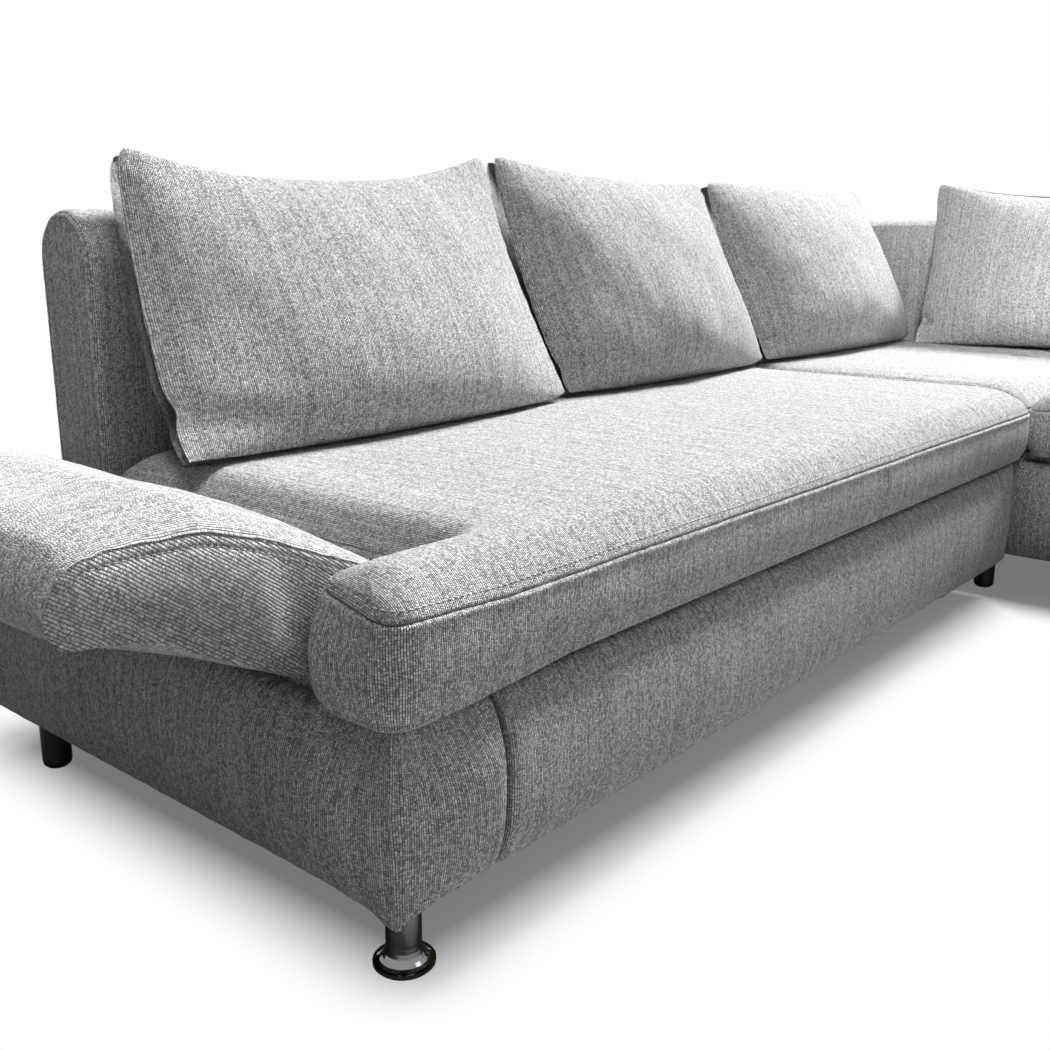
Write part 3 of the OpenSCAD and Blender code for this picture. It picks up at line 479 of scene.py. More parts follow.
# Drawer with its padded front
# A chipboard box on two casters at the front and two small rollers that run on wooden runners behind.
# Its front is padded like the plinth and rounded off at the right; a foam mattress lies folded inside.
def front_path():
    """Along the drawer's front, from the stile to its rounded right end."""
    left, right = 84.0, 1615.0
    steps = [0, 0.4, 1.6, 4, 8, 14, 22, *np.linspace(34, 1385, 112), *np.linspace(1396, 1500, 12),
             1508, 1515, 1521, 1526, 1529.5, 1531]
    rows = np.array([(left + d, face_line, 0, -1, bow(136 + d, 1667)) for d in steps], float)
    for k, back in enumerate((9.0, 6.0, 3.2, 1.3, 0.4)):
        rows[k, 1] += back
    rows[:, 1] += 8 * np.clip((rows[:, 0] - (right - 9)) / 9, 0, 1) ** 2
    inner = np.stack([rows[:, 0], np.full(len(rows), turned_line)], -1)
    return rows, inner


rows, inner = front_path()
drawer_front = plinth_cover(rows, inner, 11, collar=False)
drawer_front = drawer_front.sew("drawer_front_cover", woven_fabric, "drawer", "drawer_front_skirt")
dress(["drawer_front_panel", "drawer_sides", "drawer_rear_panel", "drawer_floor"], chipboard)
dress(["drawer_rails"], beech)
dress(["caster_forks", "caster_axles", "roller_pins"], zinc_steel)
dress(["caster_wheel_left", "caster_wheel_right", "rear_roller_left", "rear_roller_right"], black_plastic)


def ticking():
    """Plain cotton ticking of the mattress: fine even threads in natural white."""
    cloth = Finish("mattress ticking")
    flat = cloth.node("ShaderNodeUVMap", {"uv_map": "cloth"})
    split = cloth.node("ShaderNodeSeparateXYZ", {}, {"Vector": flat})
    across = ((split / 0.0011) % 1.0 - 0.5).size()
    along = ((split.other("Y") / 0.0011) % 1.0 - 0.5).size()
    thread = across * along * 4.0
    cloud = cloth.noise(flat, 40, 4)
    return cloth.surface(
        Base_Color=cloth.mixed(cloud, (0.66, 0.64, 0.58), (0.80, 0.78, 0.72)), Roughness=0.82 + cloud * 0.1,
        Sheen_Weight=0.1, height=thread * 0.5 + cloud * 0.3, relief=0.0005)


def mattress_edge(inset):
    """Closed plan outline of the mattress with rounded corners, moved in by an inset."""
    left, right, front, rear = 153, 1541, -12, 603
    r, points_along = 30 + 0.3 * inset, (58, 23)
    arcs = []
    for x, y, sx, sy, start in ((right, rear, 1, 1, 0), (left, rear, -1, 1, 90),
                                (left, front, -1, -1, 180), (right, front, 1, -1, 270)):
        turn = np.radians(start + np.linspace(0, 90, 8))
        centre = np.array([x - sx * (inset + r), y - sy * (inset + r)], float)
        arcs.append(centre + r * np.stack([np.cos(turn), np.sin(turn)], -1))
    points = []
    for k, arc in enumerate(arcs):
        share = np.linspace(0, 1, points_along[k % 2])[1:-1, None]
        points += [arc, arc[-1] + share * (arcs[(k + 1) % 4][0] - arc[-1])]
    return np.vstack([*points, arcs[0][:1]])


def mattress():
    """Folded foam mattress: two stacked halves with a taped edge round each."""
    pad = Cover()
    for z0, z1 in ((115.0, 194.6), (195.4, 275.0)):
        profile = [(26, 0), (10, 0.6), (4, 1.6), (1.6, 3.4), (3.0, 5.4), (1.2, 8), (0.2, 16), (0, 40),
                   (0.2, 64), (1.2, 72), (3.0, 74.6), (1.6, 76.6), (4, 78.4), (10, 79.4), (26, 79.8)]
        rings, flat, rise = [], [], 0
        for k, (inset, z) in enumerate(profile):
            ring = mattress_edge(inset)
            rise += math.dist(profile[k], profile[k - 1]) if k else 0
            rings.append(np.column_stack([ring, np.full(len(ring), z0 + z)]))
            flat.append(np.stack([run_along(ring), np.full(len(ring), rise)], -1))
        pad.panel(rings, flat)
        plan = rings[-1][:-1, :2]
        for outline, z, pitch in ((plan, z1 - 0.2, 40), (plan[::-1], z0, 60)):
            pad.fill(outline, lambda p, z=z: np.column_stack([p, np.full(len(p), z)]), lambda p: p,
                     pitch, pitch / 2)
    return pad


bed_pad = mattress().sew("folded_mattress", ticking(), "drawer", "bed_pad")


# Seats
# Beech frames with webbing, a foam core and wadding under a fabric cover. The cover's top piece rolls
# over the edge to a seam with a row of stitches beside it; the boxing under it ends in a stitched hem.
def open_cell_foam():
    foam = Finish("open cell foam")
    place = foam.place()
    pores = foam.node("ShaderNodeTexVoronoi", {}, {"Vector": place, "Scale": 700}).other("Distance")
    cloud = foam.noise(place, 12, 3)
    return foam.surface(
        Base_Color=foam.mixed(cloud, (0.80, 0.74, 0.50), (0.87, 0.83, 0.64)), Roughness=0.9 - pores * 0.1,
        height=pores, relief=0.0008)


def elastic_webbing():
    web = Finish("elastic webbing")
    place = web.place()
    split = web.node("ShaderNodeSeparateXYZ", {}, {"Vector": place})
    rib = ((split / 0.0028) % 1.0 - 0.5).size()
    pick = ((split.other("Y") / 0.0016) % 1.0 - 0.5).size()
    cloud = web.noise(place, 60, 3)
    return web.surface(
        Base_Color=web.mixed(rib * 1.6, (0.05, 0.045, 0.04), (0.24, 0.20, 0.15)),
        Roughness=0.75 + cloud * 0.15, height=rib + pick * 0.6, relief=0.0006)


foam, webbing = open_cell_foam(), elastic_webbing()
dress(["seat_frame", "return_seat_frames"], beech)
dress(["seat_webbing"], webbing)


def seat_ring(corners, inset, rounding, joins=()):
    """Plan points round a seat moved in by an inset, their outward directions, and their run along the edge.

    Corners run anticlockwise as (x, y, radius, half width there); a radius of 0 is an inner corner.
    """
    spots = np.array([corner[:2] for corner in corners], float)
    ahead = np.roll(spots, -1, 0) - spots
    ahead /= np.hypot(*ahead.T)[:, None]
    outward = np.stack([ahead[:, 1], -ahead[:, 0]], -1)
    turns = np.linspace(0, np.pi / 2, 9)
    arcs = []
    for k, (_, _, radius, half) in enumerate(corners):
        before, after = outward[k - 1], outward[k]
        n = before * np.cos(turns)[:, None] + after * np.sin(turns)[:, None]
        if radius:
            r = min(radius + rounding(inset), half - inset)
            arcs.append((spots[k] - (before + after) * (inset + r) + r * n, n))
        else:
            arcs.append((spots[k] - n * inset, n))
    points, out, run, length = [], [], [], 0.0
    for k, (arc, n) in enumerate(arcs):
        radius, following = corners[k][2], (k + 1) % len(arcs)
        side = math.dist(spots[k], spots[following]) - radius - corners[following][2]
        share = np.linspace(0, 1, max(3, int(side / 11)) + 1)[1:-1]
        for join in joins if k == 0 else ():
            close_by = (join + np.array([-5, -2.4, -1.1, 0, 1.1, 2.4, 5])) / side
            share = np.sort(np.concatenate([share[np.abs(share - join / side) > 6 / side], close_by]))
        points += [arc, arc[-1] + share[:, None] * (arcs[following][0][0] - arc[-1])]
        out += [n, np.repeat(n[-1:], len(share), 0)]
        run += [length + turns * radius, length + radius * np.pi / 2 + share * side]
        length += radius * np.pi / 2 + side
    points, out = np.vstack(points), np.vstack(out)
    return np.vstack([points, points[:1]]), np.vstack([out, out[:1]]), np.concatenate([*run, [length]])


def seat_cover(corners, seed, pressed=False, joins=(), shape=lambda points: points):
    """A seat's cover: top piece with its rolled edge, boxing, and the hem turned in beneath the frame."""
    cover = Cover()
    # heights of the stitched hem, of the seam round the seat and of the rim where its flat top begins
    hem_seam, seam, rim = 316, 397, 442.2
    waves, pucker, roll = ripple(seed, 240), ripple(seed + 1, 26), ripple(seed + 2, 120)
    # Boxing from the hem beneath to the bottom of the seam's groove: inset and height
    boxing = [(56, 304.6), (34, 304.4), (22, 304.6), (14.5, 305.2), (9.8, 307.0), (7.2, 309.6),
              (5.6, 312.2), (6.0, 314.4), (6.1, 315.4), (3.4, 317.6), (1.2, 322), (-0.9, 330),
              (-2.8, 341), (-3.8, 353), (-3.6, 365), (-2.4, 377), (-1.8, 386), (-2.2, 390.5),
              (-2.7, 393.4), (-1.4, 395.6), (2.8, 396.6)]
    rings, flat, along = [], [], 0
    for k, (inset, z) in enumerate(boxing):
        ring, out, run = seat_ring(corners, max(inset, 0), lambda inset: -0.4 * min(inset, 20), joins)
        if k:
            along += math.dist(boxing[k], boxing[k - 1])
        near = math.exp(-(seam - z) / 12) + math.exp(-abs(z - hem_seam) / 8)
        push = max(-inset, 0) + pucker(run, z * 0.5) * 0.7 * min(near, 1)
        push = push + roll(run, z) * 1.1 * (z > 318) * (z < 394)
        for join in joins:
            # an upright seam joins two lengths of boxing
            off = run - join - corners[0][2] * math.pi / 2
            push = push - 3.0 * np.exp(-(off / 1.5) ** 2) + np.exp(-((np.abs(off) - 5) / 3.2) ** 2)
        plan = ring + out * push[:, None]
        rings.append(shape(np.column_stack([plan, np.full(len(plan), z)])))
        flat.append(np.stack([run, np.full(len(run), along + seed * 57)], -1))
    cover.panel(rings, flat)
    # Rolled edge of the top piece, from the seam up to where the crown begins
    profile = [(2.8, 396.6), (1.5, 397.6), (1.2, 399.0), (1.7, 400.6)]
    profile += [(2.4 + 49.6 * t, 402 + 39.3 * (1 - (1 - t) ** 1.9)) for t in np.linspace(0, 1, 13)]
    profile += [(56.5, rim)]
    spread = [0.0]
    for k in range(len(profile) - 1, 0, -1):
        spread.insert(0, spread[0] + math.dist(profile[k], profile[k - 1]))

    def easing(inset):
        return -0.4 * min(inset, 14) + 0.6 * max(inset - 14, 0)

    top, out, run = seat_ring(corners, profile[-1][0], easing, joins)
    rings, flat = [], []
    for (inset, z), s in zip(profile, spread):
        ring, way, _ = seat_ring(corners, inset, easing, joins)
        near = math.exp(-(z - seam) / 9)
        push = pucker(run, z) * 0.8 * near + roll(run, z) * 0.9 + 1.2 * min(1, (z - seam) / 12) * (inset < 50)
        rings.append(np.column_stack([ring + way * push[:, None], np.full(len(ring), z)]))
        flat.append(ring + way * (s + inset - profile[-1][0]))

    def lift(plan):
        near = distance_to(top[:-1], plan)
        z = rim + 4 * (1 - np.exp(-near / 60)) + waves(*plan.T) * 1.3 * (1 - np.exp(-near / 40))
        if pressed:
            # the loose cushions' weight keeps the seat flat under them
            z = z - 3 * np.clip((plan[:, 1] - 440) / 90, 0, 1) * (1 - np.exp(-near / 30))
        return shape(np.column_stack([plan, z]))

    rings[-1] = np.column_stack([top, np.full(len(top), rim)])
    rings = [shape(ring) for ring in rings]
    cover.rows = [rings[5] + np.column_stack([out * 0.4, np.full(len(out), 0.2)])]
    cover.panel(rings, flat)
    cover.fill(top[:-1], lift, lambda p: p)
    return cover


def stitches(name, rows, body, length=5.0, pitch=8.4):
    """A row of stitches in strong thread along each path: short rods, thinner where they dive in."""
    spots, ways, thickness = [], [], 0.62
    for row in rows:
        run = np.concatenate([[0], np.cumsum(np.linalg.norm(np.diff(row, axis=0), axis=1))])
        at = np.arange(pitch, run[-1] - pitch, pitch)
        first, last = (np.stack([np.interp(at + shift, run, row[:, k]) for k in range(3)], -1)
                       for shift in (-length / 2, length / 2))
        spots.append((first + last) / 2)
        ways.append(last - first)
    spots, ways = np.vstack(spots), np.vstack(ways)
    ways /= np.linalg.norm(ways, axis=1, keepdims=True)
    side = np.cross(ways, [0.31, 0.22, 0.93])
    side /= np.linalg.norm(side, axis=1, keepdims=True)
    third = np.cross(ways, side)
    points = []
    for share, thick in ((-1, 0.25), (-0.75, 0.85), (0, 1), (0.75, 0.85), (1, 0.25)):
        for turn in np.arange(5) * math.tau / 5:
            ring = side * math.cos(turn) + third * math.sin(turn)
            points.append(spots + ways * share * length / 2 + ring * thick * thickness)
    points = np.stack(points, 1)
    one = [[5 * a + b, 5 * a + (b + 1) % 5, 5 * a + 5 + (b + 1) % 5, 5 * a + 5 + b]
           for a in range(4) for b in range(5)]
    ends = np.array([[4, 3, 2, 1, 0], [20, 21, 22, 23, 24]])
    starts = np.arange(len(spots))[:, None, None] * 25
    faces = (np.array(one) + starts).reshape(-1, 4).tolist() + (ends + starts).reshape(-1, 5).tolist()
    mesh = bpy.data.meshes.new(name)
    mesh.from_pydata((points.reshape(-1, 3) * 0.001).tolist(), [], faces)
    hang(name, mesh, thread, body)


def twisted_thread():
    yarn = Finish("twisted thread")
    place = yarn.place()
    ply = yarn.noise(place, 900, 2)
    return yarn.surface(
        Base_Color=yarn.mixed(ply, (0.42, 0.42, 0.425), (0.74, 0.74, 0.745)), Roughness=0.5 + ply * 0.2,
        height=ply, relief=0.0003)


thread = twisted_thread()


def block_shape(points):
    """The block before the arm: its end face is stuffed like a pillow, with the seam drawn in and up
    towards the rear and the hem hanging a little lower than beside the drawer.
    """
    x, y, z = points.T
    end = np.clip((10 - x) / 90, 0, 1) * np.clip((110 - y) / 60, 0, 1)
    rear = np.clip((y + 70) / 115, 0, 1)
    high = np.clip((z - 350) / 47, 0, 1) ** 1.5
    close_by = np.clip((z - 340) / 50, 0, 1) * np.clip((441 - z) / 31, 0, 1)
    front = np.clip((70 - x) / 110, 0, 1)
    lift = close_by * (6 * front + 12 * end * rear)
    low = np.clip((340 - z) / 24, 0, 1) * np.clip((190 - x) / 170, 0, 1) * np.clip((120 - y) / 60, 0, 1)
    return np.stack([x + 20 * end * rear * high, y - 5 * end * rear * high, z + lift - 10 * low], -1)


long_corners = [(-80, -80, 34, 62.4), (1620, -80, 52, 300), (1620, 675, 26, 300), (98, 675, 26, 300),
                (98, 45, 0, 0), (-80, 45, 26, 62.4)]
cover = seat_cover(long_corners, 21, pressed=True, joins=(979,), shape=block_shape)
stitches("long_seat_stitches", cover.rows, "base")
long_seat = cover.sew("long_seat_cover", woven_fabric, "base", "seat_cover", "seat_foam")


# Long back rest
# A beech frame with a foam filling, padded and covered. One piece of cloth runs up the front and over
# the top, joined by a seam a hand below the crest, and a flat piece closes the end that shows.
dress(["back_frame", "return_back_frame"], beech)
dress(["back_foam", "return_back_foam"], foam)


# Half the depth of a back rest, the height where its rounded top begins, and the rise of the top
back_half, back_spring, back_rise = 65, 695, 70


def back_section(inset):
    """Outline across a back rest, from its front foot over the top to its rear foot: depth and height."""
    z = 305.0 + min(inset, 3)
    front = [(inset, h) for h in [z, *np.linspace(318, 680, 27)]]
    turn = np.radians(np.linspace(180, 0, 25))
    crest = [(back_half + (back_half - inset) * math.cos(a), back_spring + (back_rise - inset) * math.sin(a))
             for a in turn]
    rear = [(2 * back_half - inset, h) for h in [*np.linspace(680, 318, 20), z]]
    return np.array(front + crest + rear)


def back_cover(start, end, place, seed, ends=(True, True)):
    """Cover of a back rest from start to end along its length; place turns (run, depth, height) to space."""
    cover = Cover()
    section = back_section(0)
    run = run_along(section)
    middle = np.arange(26, end - start - 26, 12.5)
    closed = [(0.8, 9.5), (0.4, 7.4), (1.4, 5.6), (3.8, 5.0), (5.0, 3.2), (7.5, 1.4), (13, 0.3), (20, 0)]
    first = closed if ends[0] else [(0, 1.5), (6, 0), (16, 0)]
    last = closed if ends[1] else [(0, 1.5), (6, 0), (16, 0)]
    stations = [*first, *[(m, 0) for m in middle], *[(end - start - a, b) for a, b in reversed(last)]]
    waves, pucker = ripple(seed, 210), ripple(seed + 1, 30)
    # the seam below the crest on the front side
    seam = run[np.argmin(np.abs(section[:len(section) // 2 + 4, 1] - 737))]
    rings, flat = [], []
    for along, inset in stations:
        outline = back_section(inset)
        ahead = np.gradient(outline, axis=0)
        n = np.stack([-ahead[:, 1], ahead[:, 0]], -1)
        n /= np.hypot(*n.T)[:, None]
        edge = min(along, end - start - along)
        swell = waves(np.full(len(run), along), run) * 1.6 * (1 - math.exp(-edge / 40))
        swell += pucker(run, np.full(len(run), along)) * 0.8 * math.exp(-edge / 16)
        if edge > 6:
            swell += 1.0 * np.exp(-((run - seam - 6) / 5) ** 2) - 3.0 * np.exp(-((run - seam) / 2.6) ** 2)
            swell += 1.0 * np.exp(-((run - seam + 6) / 5) ** 2)
            swell += pucker(np.full(len(run), along), run) * 0.6 * np.exp(-np.abs(run - seam) / 14)
        swell *= np.clip((outline[:, 1] - 305) / 25, 0, 1)
        shape = outline + n * swell[:, None]
        rings.append(place(np.full(len(shape), start + along), shape[:, 0], shape[:, 1]))
        flat.append(np.stack([np.full(len(run), along + seed * 13), run], -1))
    cover.panel(rings, flat)
    for closed_end, ring, at, turn in ((ends[0], rings[0], start, 1), (ends[1], rings[-1], end, -1)):
        outline = back_section(1.5)
        if closed_end:
            # the end piece begins at a seam, with a second groove inside it
            steps = [(9.5, 0.8), (10.6, 1.8), (12.4, 0.5), (15.0, 0.5), (16.6, 1.5), (18.6, 0.3), (24, -0.3)]
            loops, places = [ring], [back_section(9.5) + [900, 0]]
            for inset, lie in steps:
                loop = back_section(inset)
                loops.append(place(np.full(len(loop), at + lie * turn), loop[:, 0], loop[:, 1]))
                places.append(loop + [900, 0])
            cover.panel(loops[::-turn], places[::-turn])
            outline, at = back_section(24), at - 0.3 * turn
        cover.fill(outline[::turn], lambda p, at=at: place(np.full(len(p), at), p[:, 0], p[:, 1]),
                   lambda p: p + [900, 0], 22, 11)
    return cover


def along_wall(run, depth, height):
    """Places a back rest along the wall behind the long seat."""
    return np.stack([run, 680 + depth, height], -1)


long_back = back_cover(98, 1620, along_wall, 31).sew("long_back_cover", woven_fabric, "base", "back_cover")


# Folded-out arm
# A board in a thick foam wrap, hung on two steel leaves beside the seat. One piece of cloth runs round
# it from the root over the nose and back; a flat piece with a double seam closes each end.
dress(["arm_board"], chipboard)
dress(["arm_foam"], foam)
dress(["arm_hinge_leaves", "arm_hinge_brackets", "arm_hinge_pins"], zinc_steel)
hinge_x, hinge_z = 12.0, 366.0
arm_rounds = np.array([(0, 0, 58.0), (-192.3, 73.8, 53.0), (-270.9, 85.4, 44.0)])


def arm_outline():
    """Outline round the arm's three rolls in even steps: points and directions across it."""
    turn = np.radians(np.linspace(-125, 235, 1441)[:-1])
    n = np.stack([np.cos(turn), np.sin(turn)], -1)
    chosen = arm_rounds[np.argmax(arm_rounds[:, 2][None] + n @ arm_rounds[:, :2].T, 1)]
    points = chosen[:, :2] + n * chosen[:, 2:3]
    grown = points + n * 6
    run = run_along(np.vstack([grown, grown[:1]]))
    wanted = np.linspace(0, run[-1], 112, endpoint=False)
    points, n = (np.stack([np.interp(wanted, run, np.append(data[:, i], data[0, i])) for i in (0, 1)], -1)
                 for data in (points, n))
    return points, n / np.hypot(*n.T)[:, None]


def arm_cover():
    """The arm's cover: one long piece with openings for the brackets, and a cap on each end."""
    cover = Cover()
    y0, y1 = 55.0, 780.0
    span = y1 - y0
    rise = [(0, 0), (1.2, 0.07), (3.2, 0.15), (7, 0.26), (14, 0.42), (24, 0.60), (40, 0.80), (64, 0.95),
            (94, 1)]
    slots = [(141.15, 157.15), (670.15, 686.15)]
    sides = [side for slot in slots for side in slot]
    marks = sorted({94.0 + 12.0 * k for k in range(46)} | {side - y0 for side in sides})
    stations = rise + [(m, 1) for m in marks if 94 < m < span - 94
                       and (m + y0 in sides or min(abs(m + y0 - side) for side in sides) > 4)]
    stations += [(span - a, b) for a, b in reversed(rise)]
    waves, pucker, folds = ripple(41, 180), ripple(42, 24), ripple(43, 60)
    base, n = arm_outline()
    # the end pieces are cut fuller at the nose and under the root, and narrower between
    angle = np.degrees(np.arctan2(n[:, 1], n[:, 0])) % 360
    cap = np.interp(angle, [0, 60, 88, 108, 124, 138, 148, 166, 182, 198, 210, 222, 232, 246, 270, 360],
                    [-4, -4, -4, -4, -3, 0, 3.6, 8.6, 13, 16.5, 16.5, 11.6, 5.6, 0, 4, -4])
    below = (angle > 240) & (angle < 262)
    cap[below] = np.interp(base[below, 0], [-290, -276, -244, -217, -198, -179, -149, -110, -85, -40, 0],
                           [0, -4.5, -9, -8, -4, -0.5, 4, 9, 11, 8, 4])
    above = (angle > 55) & (angle < 112)
    cap[above] = np.interp(base[above, 0], [-283, -245, -205, -180, -156, -122, -105, -78, -56, -29, 20],
                           [-7, -6, -6.4, -6.2, -4.2, -3, -3.6, -5, -6.6, -8.5, -10])
    # the long piece lies fullest over the middle of the arm and falls away towards its root
    full = np.full(len(base), 10.0)
    full[above] = np.interp(base[above, 0], [-283, -230, -180, -120, -90, -60, -30, 0, 40],
                            [7, 13, 20, 23, 21, 17, 11, 4, -3])
    root = (angle > 355) | (angle <= 55)
    full[root] = np.interp(angle[root] % 355, [0, 20, 55], [8, 2, -3])
    run = run_along(np.vstack([base, base[:1]]))
    under = np.clip(-n[:, 1], 0, 1) * np.exp(-((base[:, 0] + 60) / 80) ** 2)
    rings, flat = [], []
    for along, share in stations:
        edge = min(along, span - along)
        out = cap + (full - cap) * share
        out += waves(np.full(len(base), along), run[:-1]) * 1.8 * (1 - math.exp(-edge / 30))
        out += pucker(run[:-1], np.full(len(base), along)) * 0.9 * math.exp(-edge / 13)
        # the cloth bags and folds under the root, where the arm bends to the plinth
        fold = folds(run[:-1], np.full(len(base), along * 0.3))
        out += under * (7 * (1 - math.exp(-edge / 22)) + 2.6 * fold)
        ring = base + n * out[:, None]
        ring = np.vstack([ring, ring[:1]])
        rings.append(np.column_stack([hinge_x + ring[:, 0], np.full(len(ring), y0 + along),
                                      hinge_z + ring[:, 1]]))
        flat.append(np.stack([np.full(len(run), along + 500), run], -1))
    grid, places = np.stack(rings), np.stack(flat)
    # openings in the underside where the brackets reach in and swing
    middle = (grid[:-1, :-1] + grid[1:, 1:]) / 2
    x, z = middle[..., 0] - hinge_x, middle[..., 2] - hinge_z
    angle = np.degrees(np.arctan2(z, x))
    swung = ((angle > -91) & (angle < 7)) | ((x > -24) & (x < 0) & (z < 0))
    open_rows = np.zeros(middle.shape[:2], bool)
    for low, high in slots:
        open_rows |= (middle[..., 1] > low) & (middle[..., 1] < high) & swung
    index = cover.count + np.arange(grid.shape[0] * grid.shape[1]).reshape(grid.shape[:2])
    quads = np.stack([index[:-1, :-1], index[:-1, 1:], index[1:, 1:], index[1:, :-1]], -1)
    cover.add(grid.reshape(-1, 3), places.reshape(-1, 2), quads[~open_rows].reshape(-1, 4).tolist())
    columns = np.where(open_rows.any(0))[0]
    a, b = columns[0], columns[-1] + 2
    for low, high in slots:
        for level, turn in ((low, 1), (high, -1)):
            row = int(np.argmin(np.abs(grid[:, 0, 1] - level)))
            edge = grid[row, a:b]
            turned = edge + (np.array([hinge_x, edge[0, 1], hinge_z]) - edge) * 0.34
            strip, place = [edge, turned], [places[row, a:b], places[row, a:b] + [14, 0]]
            cover.panel(strip[::turn], place[::turn])
    # end pieces: a seam, and a second row of stitches inside it
    steps = [(0, 0.0), (-0.9, 0.8), (-2.6, -0.5), (-6.0, -1.7), (-9.4, -2.0), (-10.8, -1.4), (-12.2, -2.5),
             (-18, -4.2)]
    fall = math.radians(36)
    # the cloth of the end pieces lies at a slant, its cords stretched wider and its nubs shorter
    turned = np.array([[math.sin(fall), math.cos(fall)], [math.cos(fall), -math.sin(fall)]]) * [0.80, 1.5]

    def flatter(x):
        """The end pieces stay flatter near the root, beside the seat."""
        return np.clip((-84 - x) / 40, 0.3, 1)

    for front in (True, False):
        loops, places = [], []
        for grow, lie in steps:
            ring = base + n * (cap + grow)[:, None]
            ring = np.vstack([ring, ring[:1]])
            clear = flatter(ring[:, 0]) if grow < -3 else 1
            at = y0 + lie * clear if front else y1 - lie * clear
            if grow == 0:
                loops.append(grid[0 if front else -1])
            else:
                loops.append(np.column_stack([hinge_x + ring[:, 0], np.zeros(len(ring)) + at,
                                              hinge_z + ring[:, 1]]))
            places.append(ring @ turned + [1500, 0])
        rim = ring[:-1]
        cover.rows += [loops[5] + [0, -0.5 if front else 0.5, 0]]
        if front:
            loops, places = loops[::-1], places[::-1]
        cover.panel(loops, places)

        def lift(p, front=front, rim=rim):
            near = np.min(np.linalg.norm(p[:, None] - rim[None], axis=2), 1)
            dome = (-4.2 - 5.5 * (1 - np.exp(-near / 26)) * (near > 0.5)) * flatter(p[:, 0])
            at = y0 + dome if front else y1 - dome
            return np.column_stack([hinge_x + p[:, 0], at, hinge_z + p[:, 1]])

        cover.fill(rim if front else rim[::-1], lift, lambda p: p @ turned + [1500, 0], 9, 5)
    return cover


cover = arm_cover()
stitches("arm_stitches", cover.rows, "arm", 4.4, 7.0)
arm = cover.sew("arm_cover_cloth", woven_fabric, "arm", "arm_cover")


# Return: plinth, corner seat, chaise seat and back rest
# The second module is built like the first and hooked to it. Its plinth is padded on the two sides
# that show; the corner seat and the chaise seat are two covers on frames of their own.
def return_path():
    """Along the return's inner side, its front, and a short way round its outer corner."""
    side = [0, 0.4, 1.6, 4, 8, *np.linspace(18, 1072, 86), *np.linspace(1084, 1164, 12), 1169, 1172]
    front = [3.0, 8, *np.linspace(18, 941, 74), 950, 956, 959]
    outer = [2.0, 6, 12, 20, 29, 38]
    rows = [(1653, 20 - d, -1, 0, bow(1172 - d, 1272)) for d in side]
    corner = len(rows) - 1
    rows += [(1653 + d, -1152, 0, -1, bow(d, 959)) for d in front]
    second = len(rows) - 1
    rows += [(2612, -1152 + d, 1, 0, 0.0) for d in outer]
    rows = np.array(rows, float)
    rows[corner, 2:4], rows[second, 2:4] = (-0.7, -0.7), (0.7, -0.7)
    for k, back in enumerate((9.0, 6.0, 3.2, 1.3, 0.4)):
        rows[k, 0] += back
    inner = np.stack([np.clip(rows[:, 0], 1673, 2592), np.clip(rows[:, 1], -1132, 20)], -1)
    return rows, inner


rows, inner = return_path()
return_skirt = plinth_cover(rows, inner, 51, seam=1172)
return_skirt = return_skirt.sew("return_plinth_cover", woven_fabric, "base", "return_skirt")
dress(["module_hooks"], zinc_steel)


def box_corners(x0, y0, x1, y1):
    """Four rounded corners of a plain seat, for seat_ring."""
    return [(x, y, 26, 300) for x, y in ((x0, y0), (x1, y0), (x1, y1), (x0, y1))]


for name, corners, seed, pressed in (("corner_seat", box_corners(1625, -59.5, 2485, 675), 61, True),
                                     ("chaise_seat", box_corners(1625, -1180, 2485, -60.5), 71, False)):
    cover = seat_cover(corners, seed, pressed)
    stitches(f"{name}_stitches", cover.rows, "base")
    seat = cover.sew(f"{name}_cover_cloth", woven_fabric, "base", f"{name}_cover", f"{name}_foam")


def along_return(run, depth, height):
    """Places a back rest along the return's outer side, from the rear to the front."""
    return np.stack([2490 + depth, 810 - run, height], -1)


parts = back_cover(1625, 2489, along_wall, 81, (False, False))
turned_back = back_cover(0, 1970, along_return, 91, (False, True))
corner_back = Cover()
for source in (parts, turned_back):
    corner_back.add(np.vstack(source.points), np.vstack(source.flat),
                    [[corner_back.count + i for i in face] for face in source.faces])
return_back = corner_back.sew("return_back_cover_cloth", woven_fabric, "base", "return_back_cover")


# Loose back cushions
# Two pieces of cloth sewn edge to edge with a plain seam, filled with fibre. The corners draw out to
# points, the sides pull in, and the lower left corners fold over where the filling sinks.
seat_top = 445


